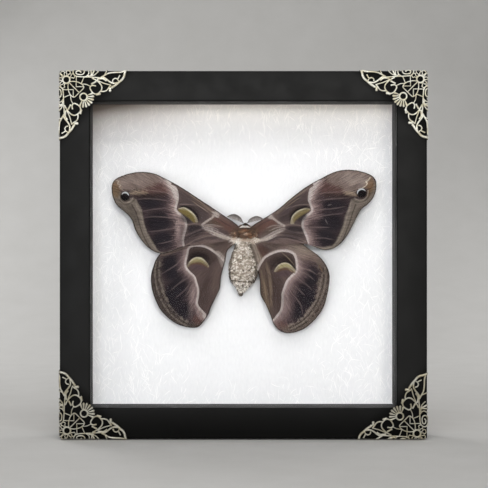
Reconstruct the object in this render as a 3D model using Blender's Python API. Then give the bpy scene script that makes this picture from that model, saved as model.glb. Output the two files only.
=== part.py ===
"""A spread silk moth in a square black shadow-box frame with pierced brass corner brackets.

The frame stands upright on z = 0 and faces -Y. Dimensions are in millimetres, and place()
turns them into metres. Depths are measured from the rails' front face towards the back;
heights and widths are measured from the middle of the frame or of the moth.
"""

import math

import bmesh
import bpy
from mathutils import Vector
from mathutils.geometry import delaunay_2d_cdt

MM = 0.001

# Frame
FRAME_SIZE = 180.0
FACE_WIDTH = 15.0
RAIL_DEPTH = 28.0
LIP_THICKNESS = 3.0
RABBET_WALL = 9.0
EDGE_BEVEL = 0.6
GAP = 0.3
HALF = FRAME_SIZE / 2
INNER_HALF = HALF - RABBET_WALL - GAP
OPENING_HALF = HALF - FACE_WIDTH

# Layers behind the lip, as front and back depths
GLASS = (LIP_THICKNESS + GAP, 5.3)
SPACER = (5.6, 20.0)
PAPER = (20.3, 20.7)
BOARD = (21.0, 24.0)
PANEL = (24.3, 26.8)
POINTS = (27.1, 27.5)

# Hanger on the back of the top rail
HANGER = (RAIL_DEPTH + GAP, RAIL_DEPTH + GAP + 0.8)
HANGER_LENGTH = 45.0
HANGER_WIDTH = 7.0
NAIL_SPACING = 38.0
NAIL_RADIUS = 0.6
NAIL_HEAD_RADIUS = 1.5
NAIL_LENGTH = 8.0
NAIL_CLEARANCE = 0.3
NAIL_HEAD_BACK = HANGER[1] + GAP + 0.6

# Corner brackets: thin brass, glued on and bent over the frame's edges
BRACKET_GAP = 0.25
BRACKET_THICKNESS = 0.9
FLANGE_THICKNESS = 0.55
# How far each hand-fitted bracket sits off its nominal place: in from the side, in from top or bottom
BRACKET_SHIFT = {
    "top_left": (-0.5, 0.6),
    "top_right": (-0.35, 0.25),
    "bottom_left": (-0.2, 0.1),
    "bottom_right": (1.3, -1.3),
}

# Moth
MOTH_CENTRE = (1.0, 10.0)
WING_THICKNESS = 0.4
FOREWING_DEPTH = 13.6
HINDWING_DEPTH = 14.9
THORAX_DEPTH = 15.0
ANTENNA_DEPTH = 11.9
PIN_RADIUS = 0.3
PIN_HOLE_RADIUS = 0.6
PIN_FRONT = 12.6
PIN_BACK = 23.7

# The part's own frame: origin under the middle of its box, on the surface it stands on
DEPTH_CENTRE = (NAIL_HEAD_BACK - BRACKET_GAP - BRACKET_THICKNESS) / 2
CENTRE_HEIGHT = HALF + BRACKET_GAP + FLANGE_THICKNESS

MATERIALS = {
    "black_wood": ((0.022, 0.022, 0.020), 0.38, 0.0),
    "clear_glass": ((0.95, 0.97, 0.96), 0.03, 0.0),
    "black_board": ((0.045, 0.045, 0.045), 0.7, 0.0),
    "pearl_paper": ((0.86, 0.86, 0.85), 0.45, 0.0),
    "white_board": ((0.78, 0.77, 0.74), 0.8, 0.0),
    "brown_board": ((0.26, 0.17, 0.10), 0.75, 0.0),
    "steel": ((0.55, 0.55, 0.56), 0.35, 1.0),
    "antique_brass": ((0.56, 0.50, 0.36), 0.38, 1.0),
    "wing_scales": ((0.10, 0.075, 0.065), 0.85, 0.0),
    "body_fur": ((0.48, 0.42, 0.34), 0.95, 0.0),
    "thorax_fur": ((0.20, 0.12, 0.07), 0.95, 0.0),
    "antenna": ((0.24, 0.21, 0.19), 0.9, 0.0),
}

# Wing outlines, right of and above the moth's centre, from the root round the tip
FOREWING_LEFT = (
    (-5.6, 5.3), (-14.7, 12.2), (-22.2, 17.2), (-32.2, 23.7), (-39.6, 27.7), (-44.6, 30.0),
    (-49.6, 30.9), (-54.6, 30.7), (-59.5, 29.5), (-64.5, 27.1), (-66.1, 23.3), (-65.3, 17.5),
    (-63.0, 13.8), (-59.2, 10.6), (-56.2, 7.1), (-54.5, 2.2), (-51.9, -2.3), (-48.3, -6.4),
    (-44.7, -8.8), (-41.1, -9.7), (-37.1, -8.9), (-30.2, -6.3), (-21.2, -5.2), (-11.2, -3.4),
    (-5.9, -2.0),
)
FOREWING_RIGHT = (
    (5.8, 4.9), (15.1, 11.4), (22.6, 17.6), (30.1, 23.3), (37.6, 27.6), (45.0, 31.1),
    (52.5, 32.0), (60.0, 30.5), (64.2, 28.0), (65.3, 24.1), (64.2, 19.1), (61.7, 15.5),
    (58.0, 12.4), (55.7, 8.6), (53.5, 4.2), (50.8, -0.6), (47.5, -4.8), (43.0, -7.5),
    (38.1, -7.7), (31.3, -5.3), (22.6, -4.8), (12.7, -4.4), (6.0, -2.6),
)
HINDWING_LEFT = (
    (-5.7, -3.3), (-8.3, -7.8), (-9.8, -13.8), (-11.7, -20.7), (-12.3, -26.7), (-14.2, -31.0),
    (-16.7, -36.2), (-18.2, -40.2), (-22.2, -45.5), (-25.7, -46.6), (-31.7, -45.6),
    (-37.1, -42.6), (-41.9, -37.7), (-44.9, -31.7), (-46.5, -25.7), (-46.6, -20.2),
    (-45.3, -15.3), (-43.6, -11.5), (-40.1, -7.8), (-32.2, -2.8), (-19.7, 0.2), (-9.8, -0.8),
)
HINDWING_RIGHT = (
    (5.7, -3.3), (5.9, -8.8), (7.2, -15.3), (7.8, -22.7), (7.9, -30.0), (10.4, -34.9),
    (12.7, -40.2), (14.9, -45.6), (18.9, -48.9), (24.1, -49.1), (30.1, -46.8), (35.3, -42.2),
    (39.1, -36.7), (41.0, -30.7), (42.3, -21.7), (41.0, -16.3), (37.6, -11.5), (32.6, -7.6),
    (26.6, -3.3), (17.6, -0.3), (9.0, -1.0),
)

# Body rings from the neck to the tail: height, middle, half width, half depth
THORAX_RINGS = (
    (3.7, 0.0, 1.6, 1.5), (3.1, 0.0, 3.4, 3.1), (1.6, 0.0, 4.7, 4.1), (0.0, 0.1, 5.0, 4.4),
    (-1.6, 0.1, 4.7, 4.3), (-2.8, 0.0, 3.9, 3.6), (-3.3, -0.1, 2.4, 2.2),
)
ABDOMEN_RINGS = (
    (-3.7, -0.5, 2.6, 2.6), (-5.0, -0.5, 4.0, 3.9), (-8.0, -0.5, 5.0, 4.5), (-12.0, -0.6, 6.0, 4.8),
    (-17.0, -0.8, 7.0, 4.8), (-21.0, -0.9, 7.0, 4.6), (-24.5, -1.1, 5.7, 4.1),
    (-27.5, -1.5, 3.3, 3.0), (-29.3, -1.9, 1.5, 1.5), (-30.1, -2.0, 0.5, 0.5),
)
ABDOMEN_SEGMENTS = 7
BODY_SIDES = 12
HEAD_CENTRE = (0.1, 14.2, 4.95)
HEAD_RADII = (1.6, 1.8, 0.9)
EYE_RADIUS = 0.85
EYE_OFFSET = 1.5

# Midlines of the antennae, from the head to the tip, and the breadth of their feathering
ANTENNA_LEFT = ((-0.8, 5.5), (-2.2, 8.2), (-4.6, 9.8), (-7.0, 9.7), (-9.0, 8.6))
ANTENNA_RIGHT = ((1.2, 5.5), (2.6, 7.6), (5.4, 8.9), (7.6, 8.5), (9.4, 7.4))
ANTENNA_BREADTHS = (0.5, 1.7, 2.3, 1.8, 0.5)

# Legs of the right side, as joints right of and above the moth's centre with their depths
LEGS = (
    ((1.6, 2.2, 18.4), (3.6, 4.6, 18.9), (3.0, 7.2, 17.9), (2.2, 8.6, 17.6)),
    ((2.8, 0.4, 18.2), (6.6, 1.2, 18.9), (8.6, -2.2, 18.3), (8.9, -4.4, 18.6)),
    ((2.2, -1.4, 18.6), (5.6, -3.6, 19.2), (7.6, -8.4, 18.9), (7.5, -11.6, 19.2)),
)
LEG_RADII = (0.75, 0.6, 0.4, 0.25)


# ---------------------------------------------------------------- basic helpers


def clear_scene():
    for old in list(bpy.data.objects):
        bpy.data.objects.remove(old)


def place(x, depth, z):
    """A point in metres from millimetres right of, behind and above the frame's front centre."""
    return Vector((x, depth - DEPTH_CENTRE, z + CENTRE_HEIGHT)) * MM


def moth_place(x, depth, z):
    """The same, measured from the moth's centre."""
    return place(x + MOTH_CENTRE[0], depth, z + MOTH_CENTRE[1])


def make_material(name):
    colour, roughness, metallic = MATERIALS[name]
    made = bpy.data.materials.get(name) or bpy.data.materials.new(name)
    made.use_nodes = True
    shader = made.node_tree.nodes["Principled BSDF"]
    shader.inputs["Base Color"].default_value = (*colour, 1.0)
    shader.inputs["Roughness"].default_value = roughness
    shader.inputs["Metallic"].default_value = metallic
    if name == "clear_glass":
        shader.inputs["Transmission Weight"].default_value = 1.0
    return made


def add_object(name, points, faces, material, smooth_angle=None):
    """One closed object from points in metres and faces, with its faces turned outwards."""
    mesh = bpy.data.meshes.new(name)
    mesh.from_pydata([tuple(p) for p in points], [], faces)
    edit = bmesh.new()
    edit.from_mesh(mesh)
    bmesh.ops.recalc_face_normals(edit, faces=edit.faces)
    edit.to_mesh(mesh)
    edit.free()
    if smooth_angle is not None:
        mesh.shade_smooth()
        mesh.set_sharp_from_angle(angle=math.radians(smooth_angle))
    made = bpy.data.objects.new(name, mesh)
    bpy.context.scene.collection.objects.link(made)
    mesh.materials.append(make_material(material))
    return made


def cut(target, cutter, operation="DIFFERENCE"):
    """Cuts or joins target with a helper object, which is hidden."""
    cutter.hide_render = True
    cutter.display_type = "WIRE"
    boolean = target.modifiers.new(cutter.name, "BOOLEAN")
    boolean.operation = operation
    boolean.solver = "EXACT"
    boolean.object = cutter


def catmull_rom(before, start, end, after, t):
    """One coordinate of the smooth curve from start to end."""
    square = t * t
    cube = square * t
    return 0.5 * (
        2 * start
        + (end - before) * t
        + (2 * before - 5 * start + 4 * end - after) * square
        + (3 * start - before - 3 * end + after) * cube
    )


def smooth(points, steps):
    """Points of a smooth open curve through the given ones, with steps spans between each pair."""
    first = [2 * a - b for a, b in zip(points[0], points[1])]
    last = [2 * a - b for a, b in zip(points[-1], points[-2])]
    ends = [first, *points, last]
    made = []
    for i in range(1, len(ends) - 2):
        for step in range(steps):
            t = step / steps
            made.append([catmull_rom(*values, t) for values in zip(*ends[i - 1 : i + 3])])
    return [*made, list(points[-1])]


def smooth_breadths(values, steps):
    """The same for plain numbers."""
    return [v[0] for v in smooth([(v,) for v in values], steps)]


def circle(centre, radius, sides, turn=0.0):
    angles = [turn + 2 * math.pi * i / sides for i in range(sides)]
    return [(centre[0] + radius * math.cos(a), centre[1] + radius * math.sin(a)) for a in angles]


def inside(point, outline):
    """Whether a point is in an outline."""
    x, z = point
    crossings = 0
    for (ax, az), (bx, bz) in zip(outline, outline[1:] + outline[:1]):
        if (az > z) != (bz > z) and x < ax + (z - az) / (bz - az) * (bx - ax):
            crossings += 1
    return crossings % 2 == 1


def middle(points):
    return sum(points, Vector((0.0, 0.0))) / len(points)


def fill(rings, inner_points=()):
    """Triangles of a flat outline, the first ring, with the other rings as holes."""
    points = []
    edges = []
    for ring in rings:
        start = len(points)
        points += [Vector(p) for p in ring]
        edges += [(start + i, start + (i + 1) % len(ring)) for i in range(len(ring))]
    points += [Vector(p) for p in inner_points]
    within_outline = 1
    made = delaunay_2d_cdt(points, edges, [], within_outline, 1e-5)
    flat = [tuple(p) for p in made[0]]
    faces = []
    for face in made[2]:
        centre = middle([made[0][i] for i in face])
        if not any(inside(centre, hole) for hole in rings[1:]):
            faces.append(tuple(face))
    return flat, faces


def rim(faces):
    """The edges that only one face uses, each in that face's direction."""
    used = {(a, b) for face in faces for a, b in zip(face, face[1:] + face[:1])}
    return [(a, b) for a, b in used if (b, a) not in used]


def slab(name, flat, faces, near, far, material, smooth_angle=None):
    """A closed sheet: near and far give each flat point's place on its two sides."""
    points = [near(*p) for p in flat] + [far(*p) for p in flat]
    count = len(flat)
    back = [tuple(i + count for i in reversed(face)) for face in faces]
    sides = [(b, a, a + count, b + count) for a, b in rim(faces)]
    return add_object(name, points, [*faces, *back, *sides], material, smooth_angle)


def plate(name, rings, depths, material, shift=(0.0, 0.0)):
    """A flat plate from its outline and holes, between two depths."""
    flat, faces = fill(rings)
    front, back = depths

    def near(x, z):
        return place(x + shift[0], front, z + shift[1])

    def far(x, z):
        return place(x + shift[0], back, z + shift[1])

    return slab(name, flat, faces, near, far, material)


def rectangle(x0, z0, x1, z1):
    return [(x0, z0), (x1, z0), (x1, z1), (x0, z1)]


def loft(name, rings, material, smooth_angle=None):
    """A closed body over rings of points, each ring with the same number of points."""
    points = [p for ring in rings for p in ring]
    sides = len(rings[0])
    faces = [tuple(reversed(range(sides)))]
    for row in range(len(rings) - 1):
        for i in range(sides):
            a = row * sides + i
            b = row * sides + (i + 1) % sides
            faces.append((a, b, b + sides, a + sides))
    faces.append(tuple(range(len(points) - sides, len(points))))
    return add_object(name, points, faces, material, smooth_angle)


def round_bar(name, centre, stations, material, sides=8):
    """A turned bar along the depth; stations are pairs of depth and radius."""
    rings = []
    for depth, radius in stations:
        ring = circle(centre, radius, sides, math.pi / sides)
        rings.append([place(x, depth, z) for x, z in ring])
    return loft(name, rings, material, 40)


# ---------------------------------------------------------------- frame


def rail_profile():
    """Section of a rail: distance in from the frame's outer edge, and depth."""
    return (
        (0.0, EDGE_BEVEL),
        (EDGE_BEVEL, 0.0),
        (FACE_WIDTH - EDGE_BEVEL, 0.0),
        (FACE_WIDTH, EDGE_BEVEL),
        (FACE_WIDTH, LIP_THICKNESS),
        (RABBET_WALL, LIP_THICKNESS),
        (RABBET_WALL, RAIL_DEPTH),
        (EDGE_BEVEL, RAIL_DEPTH),
        (0.0, RAIL_DEPTH - EDGE_BEVEL),
    )


def turned(x, z, quarter):
    """A point of the top side carried round to another side by quarter turns."""
    for _ in range(quarter):
        x, z = -z, x
    return x, z


def make_rail(name, quarter):
    """One mitred rail; quarter 0 is the top, and the others follow anticlockwise."""
    shortening = GAP / math.sqrt(2)
    ends = []
    for side in (-1, 1):
        ring = []
        for inset, depth in rail_profile():
            x, z = turned(side * (HALF - inset - shortening), HALF - inset, quarter)
            ring.append(place(x, depth, z))
        ends.append(ring)
    return loft(name, ends, "black_wood")


def make_rails():
    names = ("rail_top", "rail_left", "rail_bottom", "rail_right")
    rails = [make_rail(name, quarter) for quarter, name in enumerate(names)]
    for number, x in enumerate(nail_places()):
        hole = NAIL_RADIUS + NAIL_CLEARANCE
        deep = RAIL_DEPTH - NAIL_LENGTH - GAP
        stations = ((deep, hole), (RAIL_DEPTH + 1.0, hole))
        cut(rails[0], round_bar(f"nail_hole_{number}", (x, hanger_height()), stations, "steel"))


def make_glass():
    half = INNER_HALF
    plate("glass_pane", [rectangle(-half, -half, half, half)], GLASS, "clear_glass")


def make_spacers():
    """Top and bottom strips run the full width; the side strips stand between them."""
    outer = INNER_HALF
    inner = OPENING_HALF
    side = inner - GAP
    plate("spacer_top", [rectangle(-outer, inner, outer, outer)], SPACER, "black_board")
    plate("spacer_bottom", [rectangle(-outer, -outer, outer, -inner)], SPACER, "black_board")
    plate("spacer_left", [rectangle(-outer, -side, -inner, side)], SPACER, "black_board")
    plate("spacer_right", [rectangle(inner, -side, outer, side)], SPACER, "black_board")


def make_backing():
    half = INNER_HALF
    outline = rectangle(-half, -half, half, half)
    pin_hole = circle(MOTH_CENTRE, PIN_HOLE_RADIUS, 8)
    plate("backing_paper", [outline, pin_hole], PAPER, "pearl_paper")
    plate("mount_board", [outline, pin_hole], BOARD, "white_board")
    plate("back_panel", [outline], PANEL, "brown_board")


def make_glazier_points():
    """Two thin pointed tabs on each side, standing out from the rabbet over the back panel."""
    tab = [(-4.0, INNER_HALF), (-4.0, INNER_HALF - 2.0), (0.0, INNER_HALF - 9.0)]
    tab += [(4.0, INNER_HALF - 2.0), (4.0, INNER_HALF)]
    sides = ("top", "left", "bottom", "right")
    for quarter, side in enumerate(sides):
        for number, along in enumerate((-45.0, 45.0), start=1):
            outline = [turned(x + along, z, quarter) for x, z in tab]
            plate(f"glazier_point_{side}_{number}", [outline], POINTS, "steel")


# ---------------------------------------------------------------- hanger


def hanger_height():
    return HALF - RABBET_WALL / 2


def nail_places():
    return (-NAIL_SPACING / 2, NAIL_SPACING / 2)


def hanger_outline():
    """A strip with rounded ends and a saw-toothed lower edge between the nails."""
    end = HANGER_LENGTH / 2
    half = HANGER_WIDTH / 2
    tooth = 2.5
    teeth = 11
    start = -tooth * teeth / 2
    outline = [(-end, half - 1.5), (-end, -half + 1.5), (-end + 1.5, -half), (start, -half)]
    for i in range(teeth):
        outline.append((start + tooth * (i + 0.5), -half + 1.4))
        outline.append((start + tooth * (i + 1), -half))
    outline += [(end - 1.5, -half), (end, -half + 1.5), (end, half - 1.5), (end - 1.5, half)]
    return [*outline, (-end + 1.5, half)]


def make_hanger():
    holes = [circle((x, 0.0), NAIL_RADIUS + NAIL_CLEARANCE, 8) for x in nail_places()]
    shift = (0.0, hanger_height())
    plate("sawtooth_hanger", [hanger_outline(), *holes], HANGER, "steel", shift)
    head_front = HANGER[1] + GAP
    stations = (
        (RAIL_DEPTH - NAIL_LENGTH, 0.1),
        (RAIL_DEPTH - NAIL_LENGTH + 1.5, NAIL_RADIUS),
        (head_front, NAIL_RADIUS),
        (head_front, NAIL_HEAD_RADIUS),
        (head_front + 0.3, NAIL_HEAD_RADIUS),
        (NAIL_HEAD_BACK, NAIL_HEAD_RADIUS * 0.6),
    )
    for x, side in zip(nail_places(), ("left", "right")):
        round_bar(f"hanger_nail_{side}", (x, hanger_height()), stations, "steel")


# ---------------------------------------------------------------- corner brackets
# The stamping is symmetric about its diagonal. A stroke of the half drawn here runs along one
# leg: first the distance along the frame's edge from the corner, then the distance in from it.

HALF_STROKES = (
    # stem and the outer turn of the edge scroll
    (0.9, ((22.3, 3.4), (20.6, 3.6), (17.6, 3.4), (14.4, 3.1), (11.2, 3.0), (8.7, 2.5),
           (7.5, 1.3), (8.3, -0.2), (10.6, -0.7), (12.9, 0.0), (13.2, 1.2), (12.0, 2.0))),
    # inner turn of the edge scroll
    (0.7, ((12.0, 2.0), (9.9, 1.9), (8.9, 1.1), (10.2, 0.4), (11.6, 0.8))),
    # fan of petals at the edge
    (0.9, ((14.6, 2.9), (17.3, 2.6), (19.0, 1.3))),
    (0.9, ((15.3, 2.6), (17.9, -0.2))),
    (0.9, ((15.0, 2.6), (16.0, -0.6))),
    (0.9, ((14.7, 2.7), (14.4, -0.5))),
    # big scroll
    (0.9, ((17.8, 3.4), (19.7, 4.9), (21.1, 6.9), (21.3, 9.0), (20.3, 10.9), (18.5, 11.8),
           (16.7, 11.2), (15.6, 9.6), (15.9, 8.0), (17.4, 7.2), (18.7, 7.4))),
    (1.1, ((15.9, 7.3), (17.3, 5.8))),
    (1.5, ((19.0, 11.7), (19.9, 12.4))),
    # link and knob between the big scroll and the end leaf
    (0.9, ((20.9, 10.6), (23.3, 10.2), (25.2, 8.6))),
    (1.4, ((24.6, 9.4), (25.4, 10.6))),
    # end leaf: rim along the edge, thick rim inside, lower edge, inner curl
    (0.9, ((22.3, 3.4), (24.0, 1.4), (26.6, 0.3), (29.6, -0.2), (33.4, -0.8))),
    (1.5, ((33.4, -0.5), (32.2, 2.7), (30.9, 5.3), (28.6, 7.3), (25.6, 8.8))),
    (0.9, ((22.3, 3.4), (24.2, 5.6), (26.8, 7.4))),
    (1.0, ((29.3, 6.4), (28.4, 4.6), (26.9, 4.2))),
    (0.8, ((21.3, 3.5), (23.7, -0.8))),
    # pointed leaf under the stem
    (0.8, ((18.7, 4.2), (21.6, 5.7), (25.9, 8.0))),
    # web
    (0.8, ((5.3, 5.3), (7.2, 5.0), (10.2, 5.9), (12.2, 7.4), (12.4, 8.7), (10.8, 10.8))),
    (0.7, ((8.8, 2.7), (8.8, 7.7), (12.3, 8.0))),
    (0.7, ((12.7, 3.1), (11.8, 6.9))),
    (0.7, ((11.6, 6.7), (15.7, 7.6))),
)
DIAGONAL_BAR = (0.8, ((5.0, 5.0), (10.9, 10.9)))
CORNER_RING = ((3.9, 3.9), 1.5, 0.8)
MIDDLE_RING = ((12.2, 12.2), 1.55, 0.75)
RING_SIDES = 9

# Petals round the two rings, as distances from the ring's middle with the petal's widths there
CORNER_PETALS = 8
CORNER_PETAL = ((1.6, 0.6), (4.2, 1.3))
FAN_PETALS = 7
FAN_PETAL = ((1.7, 0.6), (4.5, 1.35), (5.2, 0.7))
FAN_ANGLES = (-20.0, 110.0)

# How the overlapping bands are simplified: points closer than this become one, and corners
# flatter than this angle go
MERGE_REACH = 0.2
SLIVER_WIDTH = 0.02
STRAIGHT_ANGLE = math.radians(18)
PINCH_PULL = 0.15


def unit_normal(a, b):
    across = Vector((a[1] - b[1], b[0] - a[0]))
    return across.normalized()


def ribbon(points, widths):
    """Quads of a flat band along a polyline, one width for each point."""
    points = [Vector(p) for p in points]
    left = []
    right = []
    for i, point in enumerate(points):
        before = points[max(i - 1, 0)]
        after = points[min(i + 1, len(points) - 1)]
        side = unit_normal(before, after) * widths[i] / 2
        left.append(point + side)
        right.append(point - side)
    spans = range(len(points) - 1)
    return [(right[i], right[i + 1], left[i + 1], left[i]) for i in spans]


def ring_quads(centre, radius, width, sides):
    inner = [Vector(p) for p in circle(centre, radius - width / 2, sides)]
    outer = [Vector(p) for p in circle(centre, radius + width / 2, sides)]
    return [(inner[i - 1], outer[i - 1], outer[i], inner[i]) for i in range(sides)]


def polar(centre, radius, degrees):
    angle = math.radians(degrees)
    return Vector((centre[0] + radius * math.cos(angle), centre[1] + radius * math.sin(angle)))


def petal(centre, stations, degrees):
    """A club-ended petal on a ray from a centre."""
    points = [polar(centre, radius, degrees) for radius, _ in stations]
    return ribbon(points, [width for _, width in stations])


def bracket_bands():
    """Every band of the stamping, both halves, as flat quads."""
    bands = []
    for width, points in HALF_STROKES:
        mirrored = [(b, a) for a, b in points]
        widths = [width] * len(points)
        bands += ribbon(points, widths)
        bands += ribbon(mirrored, widths)
    width, points = DIAGONAL_BAR
    bands += ribbon(points, [width, width])
    bands += ring_quads(*CORNER_RING, RING_SIDES)
    bands += ring_quads(*MIDDLE_RING, RING_SIDES)
    for i in range(CORNER_PETALS):
        bands += petal(CORNER_RING[0], CORNER_PETAL, 360.0 * i / CORNER_PETALS)
    first, last = FAN_ANGLES
    for i in range(FAN_PETALS):
        turn = first + (last - first) * i / (FAN_PETALS - 1)
        bands += petal(MIDDLE_RING[0], FAN_PETAL, turn)
    return bands


def anticlockwise(polygon):
    area = sum(a[0] * b[1] - b[0] * a[1] for a, b in zip(polygon, polygon[1:] + polygon[:1]))
    return list(polygon) if area > 0 else list(reversed(polygon))


def union_of_bands(bands, fold):
    """Flat triangles that cover every band once, split along both folds."""
    points = []
    faces = []
    for band in bands:
        corners = anticlockwise(list(band))
        faces.append(list(range(len(points), len(points) + len(corners))))
        points += corners
    reach = 40.0
    folds = len(points)
    points += [Vector((-reach, -fold)), Vector((reach, -fold))]
    points += [Vector((-fold, -reach)), Vector((-fold, reach))]
    edges = [(folds, folds + 1), (folds + 2, folds + 3)]
    made = delaunay_2d_cdt(points, edges, faces, 0, 1e-4, True)
    flat = [tuple(p) for p in made[0]]
    covered = [face for face, sources in zip(made[2], made[5]) if sources]
    return flat, covered


def draw_to_folds(edit, fold):
    """Points close to a fold go onto it, so that no triangle crosses it."""
    for corner in edit.verts:
        for axis in (0, 1):
            if abs(corner.co[axis] + fold) < MERGE_REACH:
                corner.co[axis] = -fold


def on_fold(a, b, fold):
    along = abs(a.co.x + fold) < 1e-4 and abs(b.co.x + fold) < 1e-4
    across = abs(a.co.y + fold) < 1e-4 and abs(b.co.y + fold) < 1e-4
    return along or across


def part_pinched_corners(edit):
    """Where two bands meet in one point only, each gets a point of its own, drawn back a little."""
    for corner in list(edit.verts):
        for single in bmesh.utils.vert_separate(corner, []):
            if single is not corner:
                middles = [face.calc_center_median() for face in single.link_faces]
                single.co = single.co.lerp(sum(middles, Vector()) / len(middles), PINCH_PULL)


def simplified(flat, faces, fold):
    """The same flat shape with fewer triangles, still split along the folds."""
    edit = bmesh.new()
    corners = [edit.verts.new((*p, 0.0)) for p in flat]
    for face in faces:
        edit.faces.new([corners[i] for i in face])
    loose = [v for v in edit.verts if not v.link_faces]
    bmesh.ops.delete(edit, geom=loose, context="VERTS")
    bmesh.ops.remove_doubles(edit, verts=edit.verts, dist=MERGE_REACH)
    draw_to_folds(edit, fold)
    bmesh.ops.dissolve_degenerate(edit, dist=SLIVER_WIDTH, edges=edit.edges)
    folded = [face for face in edit.faces if face.normal.z < 0]
    bmesh.ops.delete(edit, geom=folded, context="FACES")
    for edge in edit.edges:
        edge.seam = on_fold(*edge.verts, fold)
    bmesh.ops.dissolve_limit(
        edit, angle_limit=STRAIGHT_ANGLE, verts=edit.verts, edges=edit.edges, delimit={"SEAM"}
    )
    bmesh.ops.triangulate(edit, faces=edit.faces)
    part_pinched_corners(edit)
    edit.verts.index_update()
    points = [(v.co.x, v.co.y) for v in edit.verts]
    triangles = [tuple(v.index for v in face.verts) for face in edit.faces]
    edit.free()
    return points, triangles


def bent(along_side, along_top, fold, lift_front, lift_flange):
    """Where a flat point of the stamping ends up on the frame's top left corner.

    Past a fold the sheet runs back along the frame's side, and on the fold it takes both lifts.
    """
    x = -HALF + along_side
    z = HALF - along_top
    depth = -fold - lift_front
    if along_side < -fold + 1e-4:
        x = -HALF - fold - lift_flange
        if along_side < -fold - 1e-4:
            depth = -along_side - 2 * fold
    if along_top < -fold + 1e-4:
        z = HALF + fold + lift_flange
        if along_top < -fold - 1e-4:
            depth = -along_top - 2 * fold
    return x, depth, z


def make_bracket(corner):
    side_shift, top_shift = BRACKET_SHIFT[corner]
    bands = bracket_bands()
    moved = [[p + Vector((side_shift, top_shift)) for p in band] for band in bands]
    flat, faces = simplified(*union_of_bands(moved, BRACKET_GAP), BRACKET_GAP)
    flip_x = -1 if "right" in corner else 1
    flip_z = -1 if "bottom" in corner else 1

    def outer(u, v):
        x, depth, z = bent(u, v, BRACKET_GAP, BRACKET_THICKNESS, FLANGE_THICKNESS)
        return place(flip_x * x, depth, flip_z * z)

    def inner(u, v):
        x, depth, z = bent(u, v, BRACKET_GAP, 0.0, 0.0)
        return place(flip_x * x, depth, flip_z * z)

    slab(f"bracket_{corner}", flat, faces, outer, inner, "antique_brass")


# ---------------------------------------------------------------- moth


def forewing_depth(x, z):
    """Mid depth of a forewing: it rises towards the tip and its front edge."""
    outward = abs(x) / 65.0
    return FOREWING_DEPTH - 1.5 * outward**1.3 - 0.02 * (z - 5.0)


def hindwing_depth(x, z):
    """Mid depth of a hindwing: it lies just behind the forewing and droops to its outer edge."""
    outward = abs(x) / 45.0
    return HINDWING_DEPTH - 0.5 * outward - 0.012 * z


def grid_points(outline, pitch):
    """Points of a square grid that lie in an outline, clear of its corners."""
    xs = [p[0] for p in outline]
    zs = [p[1] for p in outline]
    made = []
    for column in range(int((max(xs) - min(xs)) / pitch) + 1):
        for row in range(int((max(zs) - min(zs)) / pitch) + 1):
            x = min(xs) + pitch * (column + 0.5)
            z = min(zs) + pitch * (row + 0.5)
            near = min(math.hypot(x - a, z - b) for a, b in outline)
            if near > pitch * 0.6 and inside((x, z), outline):
                made.append((x, z))
    return made


def make_wing(name, corners, depth_of):
    """A thin curved sheet with the wing's outline."""
    outline = [tuple(p) for p in smooth([*corners, corners[0]], 2)[:-1]]
    flat, faces = fill([outline], grid_points(outline, 7.0))

    def near(x, z):
        return moth_place(x, depth_of(x, z) - WING_THICKNESS / 2, z)

    def far(x, z):
        return moth_place(x, depth_of(x, z) + WING_THICKNESS / 2, z)

    slab(name, flat, faces, near, far, "wing_scales", 35)


def body_ring(height, middle, half_width, half_depth, sides):
    ring = circle((0.0, 0.0), 1.0, sides)
    return [moth_place(middle + half_width * a, THORAX_DEPTH + half_depth * b, height) for a, b in ring]


def make_thorax():
    rings = [body_ring(*values, BODY_SIDES) for values in smooth(THORAX_RINGS, 2)]
    thorax = loft("thorax", rings, "thorax_fur", 60)
    for side, name in ((1, "right"), (-1, "left")):
        for number, joints in enumerate(LEGS, start=1):
            cut(thorax, make_leg(f"leg_{name}_{number}", joints, side), "UNION")
    stations = ((PIN_FRONT - GAP, PIN_HOLE_RADIUS), (THORAX_DEPTH + 6.0, PIN_HOLE_RADIUS))
    cut(thorax, round_bar("pin_hole", MOTH_CENTRE, stations, "thorax_fur"))


def make_leg(name, joints, side):
    """A tapering leg of six sides through its joints."""
    points = [moth_place(side * x, depth, z) for x, z, depth in joints]
    rings = []
    for i, point in enumerate(points):
        along = (points[min(i + 1, len(points) - 1)] - points[max(i - 1, 0)]).normalized()
        across = along.cross(Vector((0.0, 1.0, 0.0))).normalized()
        up = along.cross(across)
        radius = LEG_RADII[i] * MM
        ring = [point + (across * a + up * b) * radius for a, b in circle((0, 0), 1.0, 6)]
        rings.append(ring)
    return loft(name, rings, "thorax_fur", 60)


def make_abdomen():
    """Seven soft rings, narrower at each joint, ending in a point."""
    top = ABDOMEN_RINGS[0][0]
    length = top - ABDOMEN_RINGS[-1][0]
    rings = []
    for height, middle, half_width, half_depth in smooth(ABDOMEN_RINGS, 2):
        phase = (top - height) / length * ABDOMEN_SEGMENTS
        pinch = 1.0 - 0.05 * (1.0 - abs(math.sin(math.pi * phase)))
        rings.append(body_ring(height, middle, half_width * pinch, half_depth * pinch, BODY_SIDES))
    loft("abdomen", rings, "body_fur", 60)


def ball(name, centre, radii, material, sides, rows):
    """An ellipsoid whose poles lie along the height."""
    x, depth, z = centre
    rings = []
    for row in range(rows):
        angle = math.pi * (row + 0.5) / rows
        ring = circle((0.0, 0.0), math.sin(angle), sides)
        height = z + radii[2] * math.cos(angle)
        rings.append([moth_place(x + radii[0] * a, depth + radii[1] * b, height) for a, b in ring])
    return loft(name, rings, material, 60)


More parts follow.
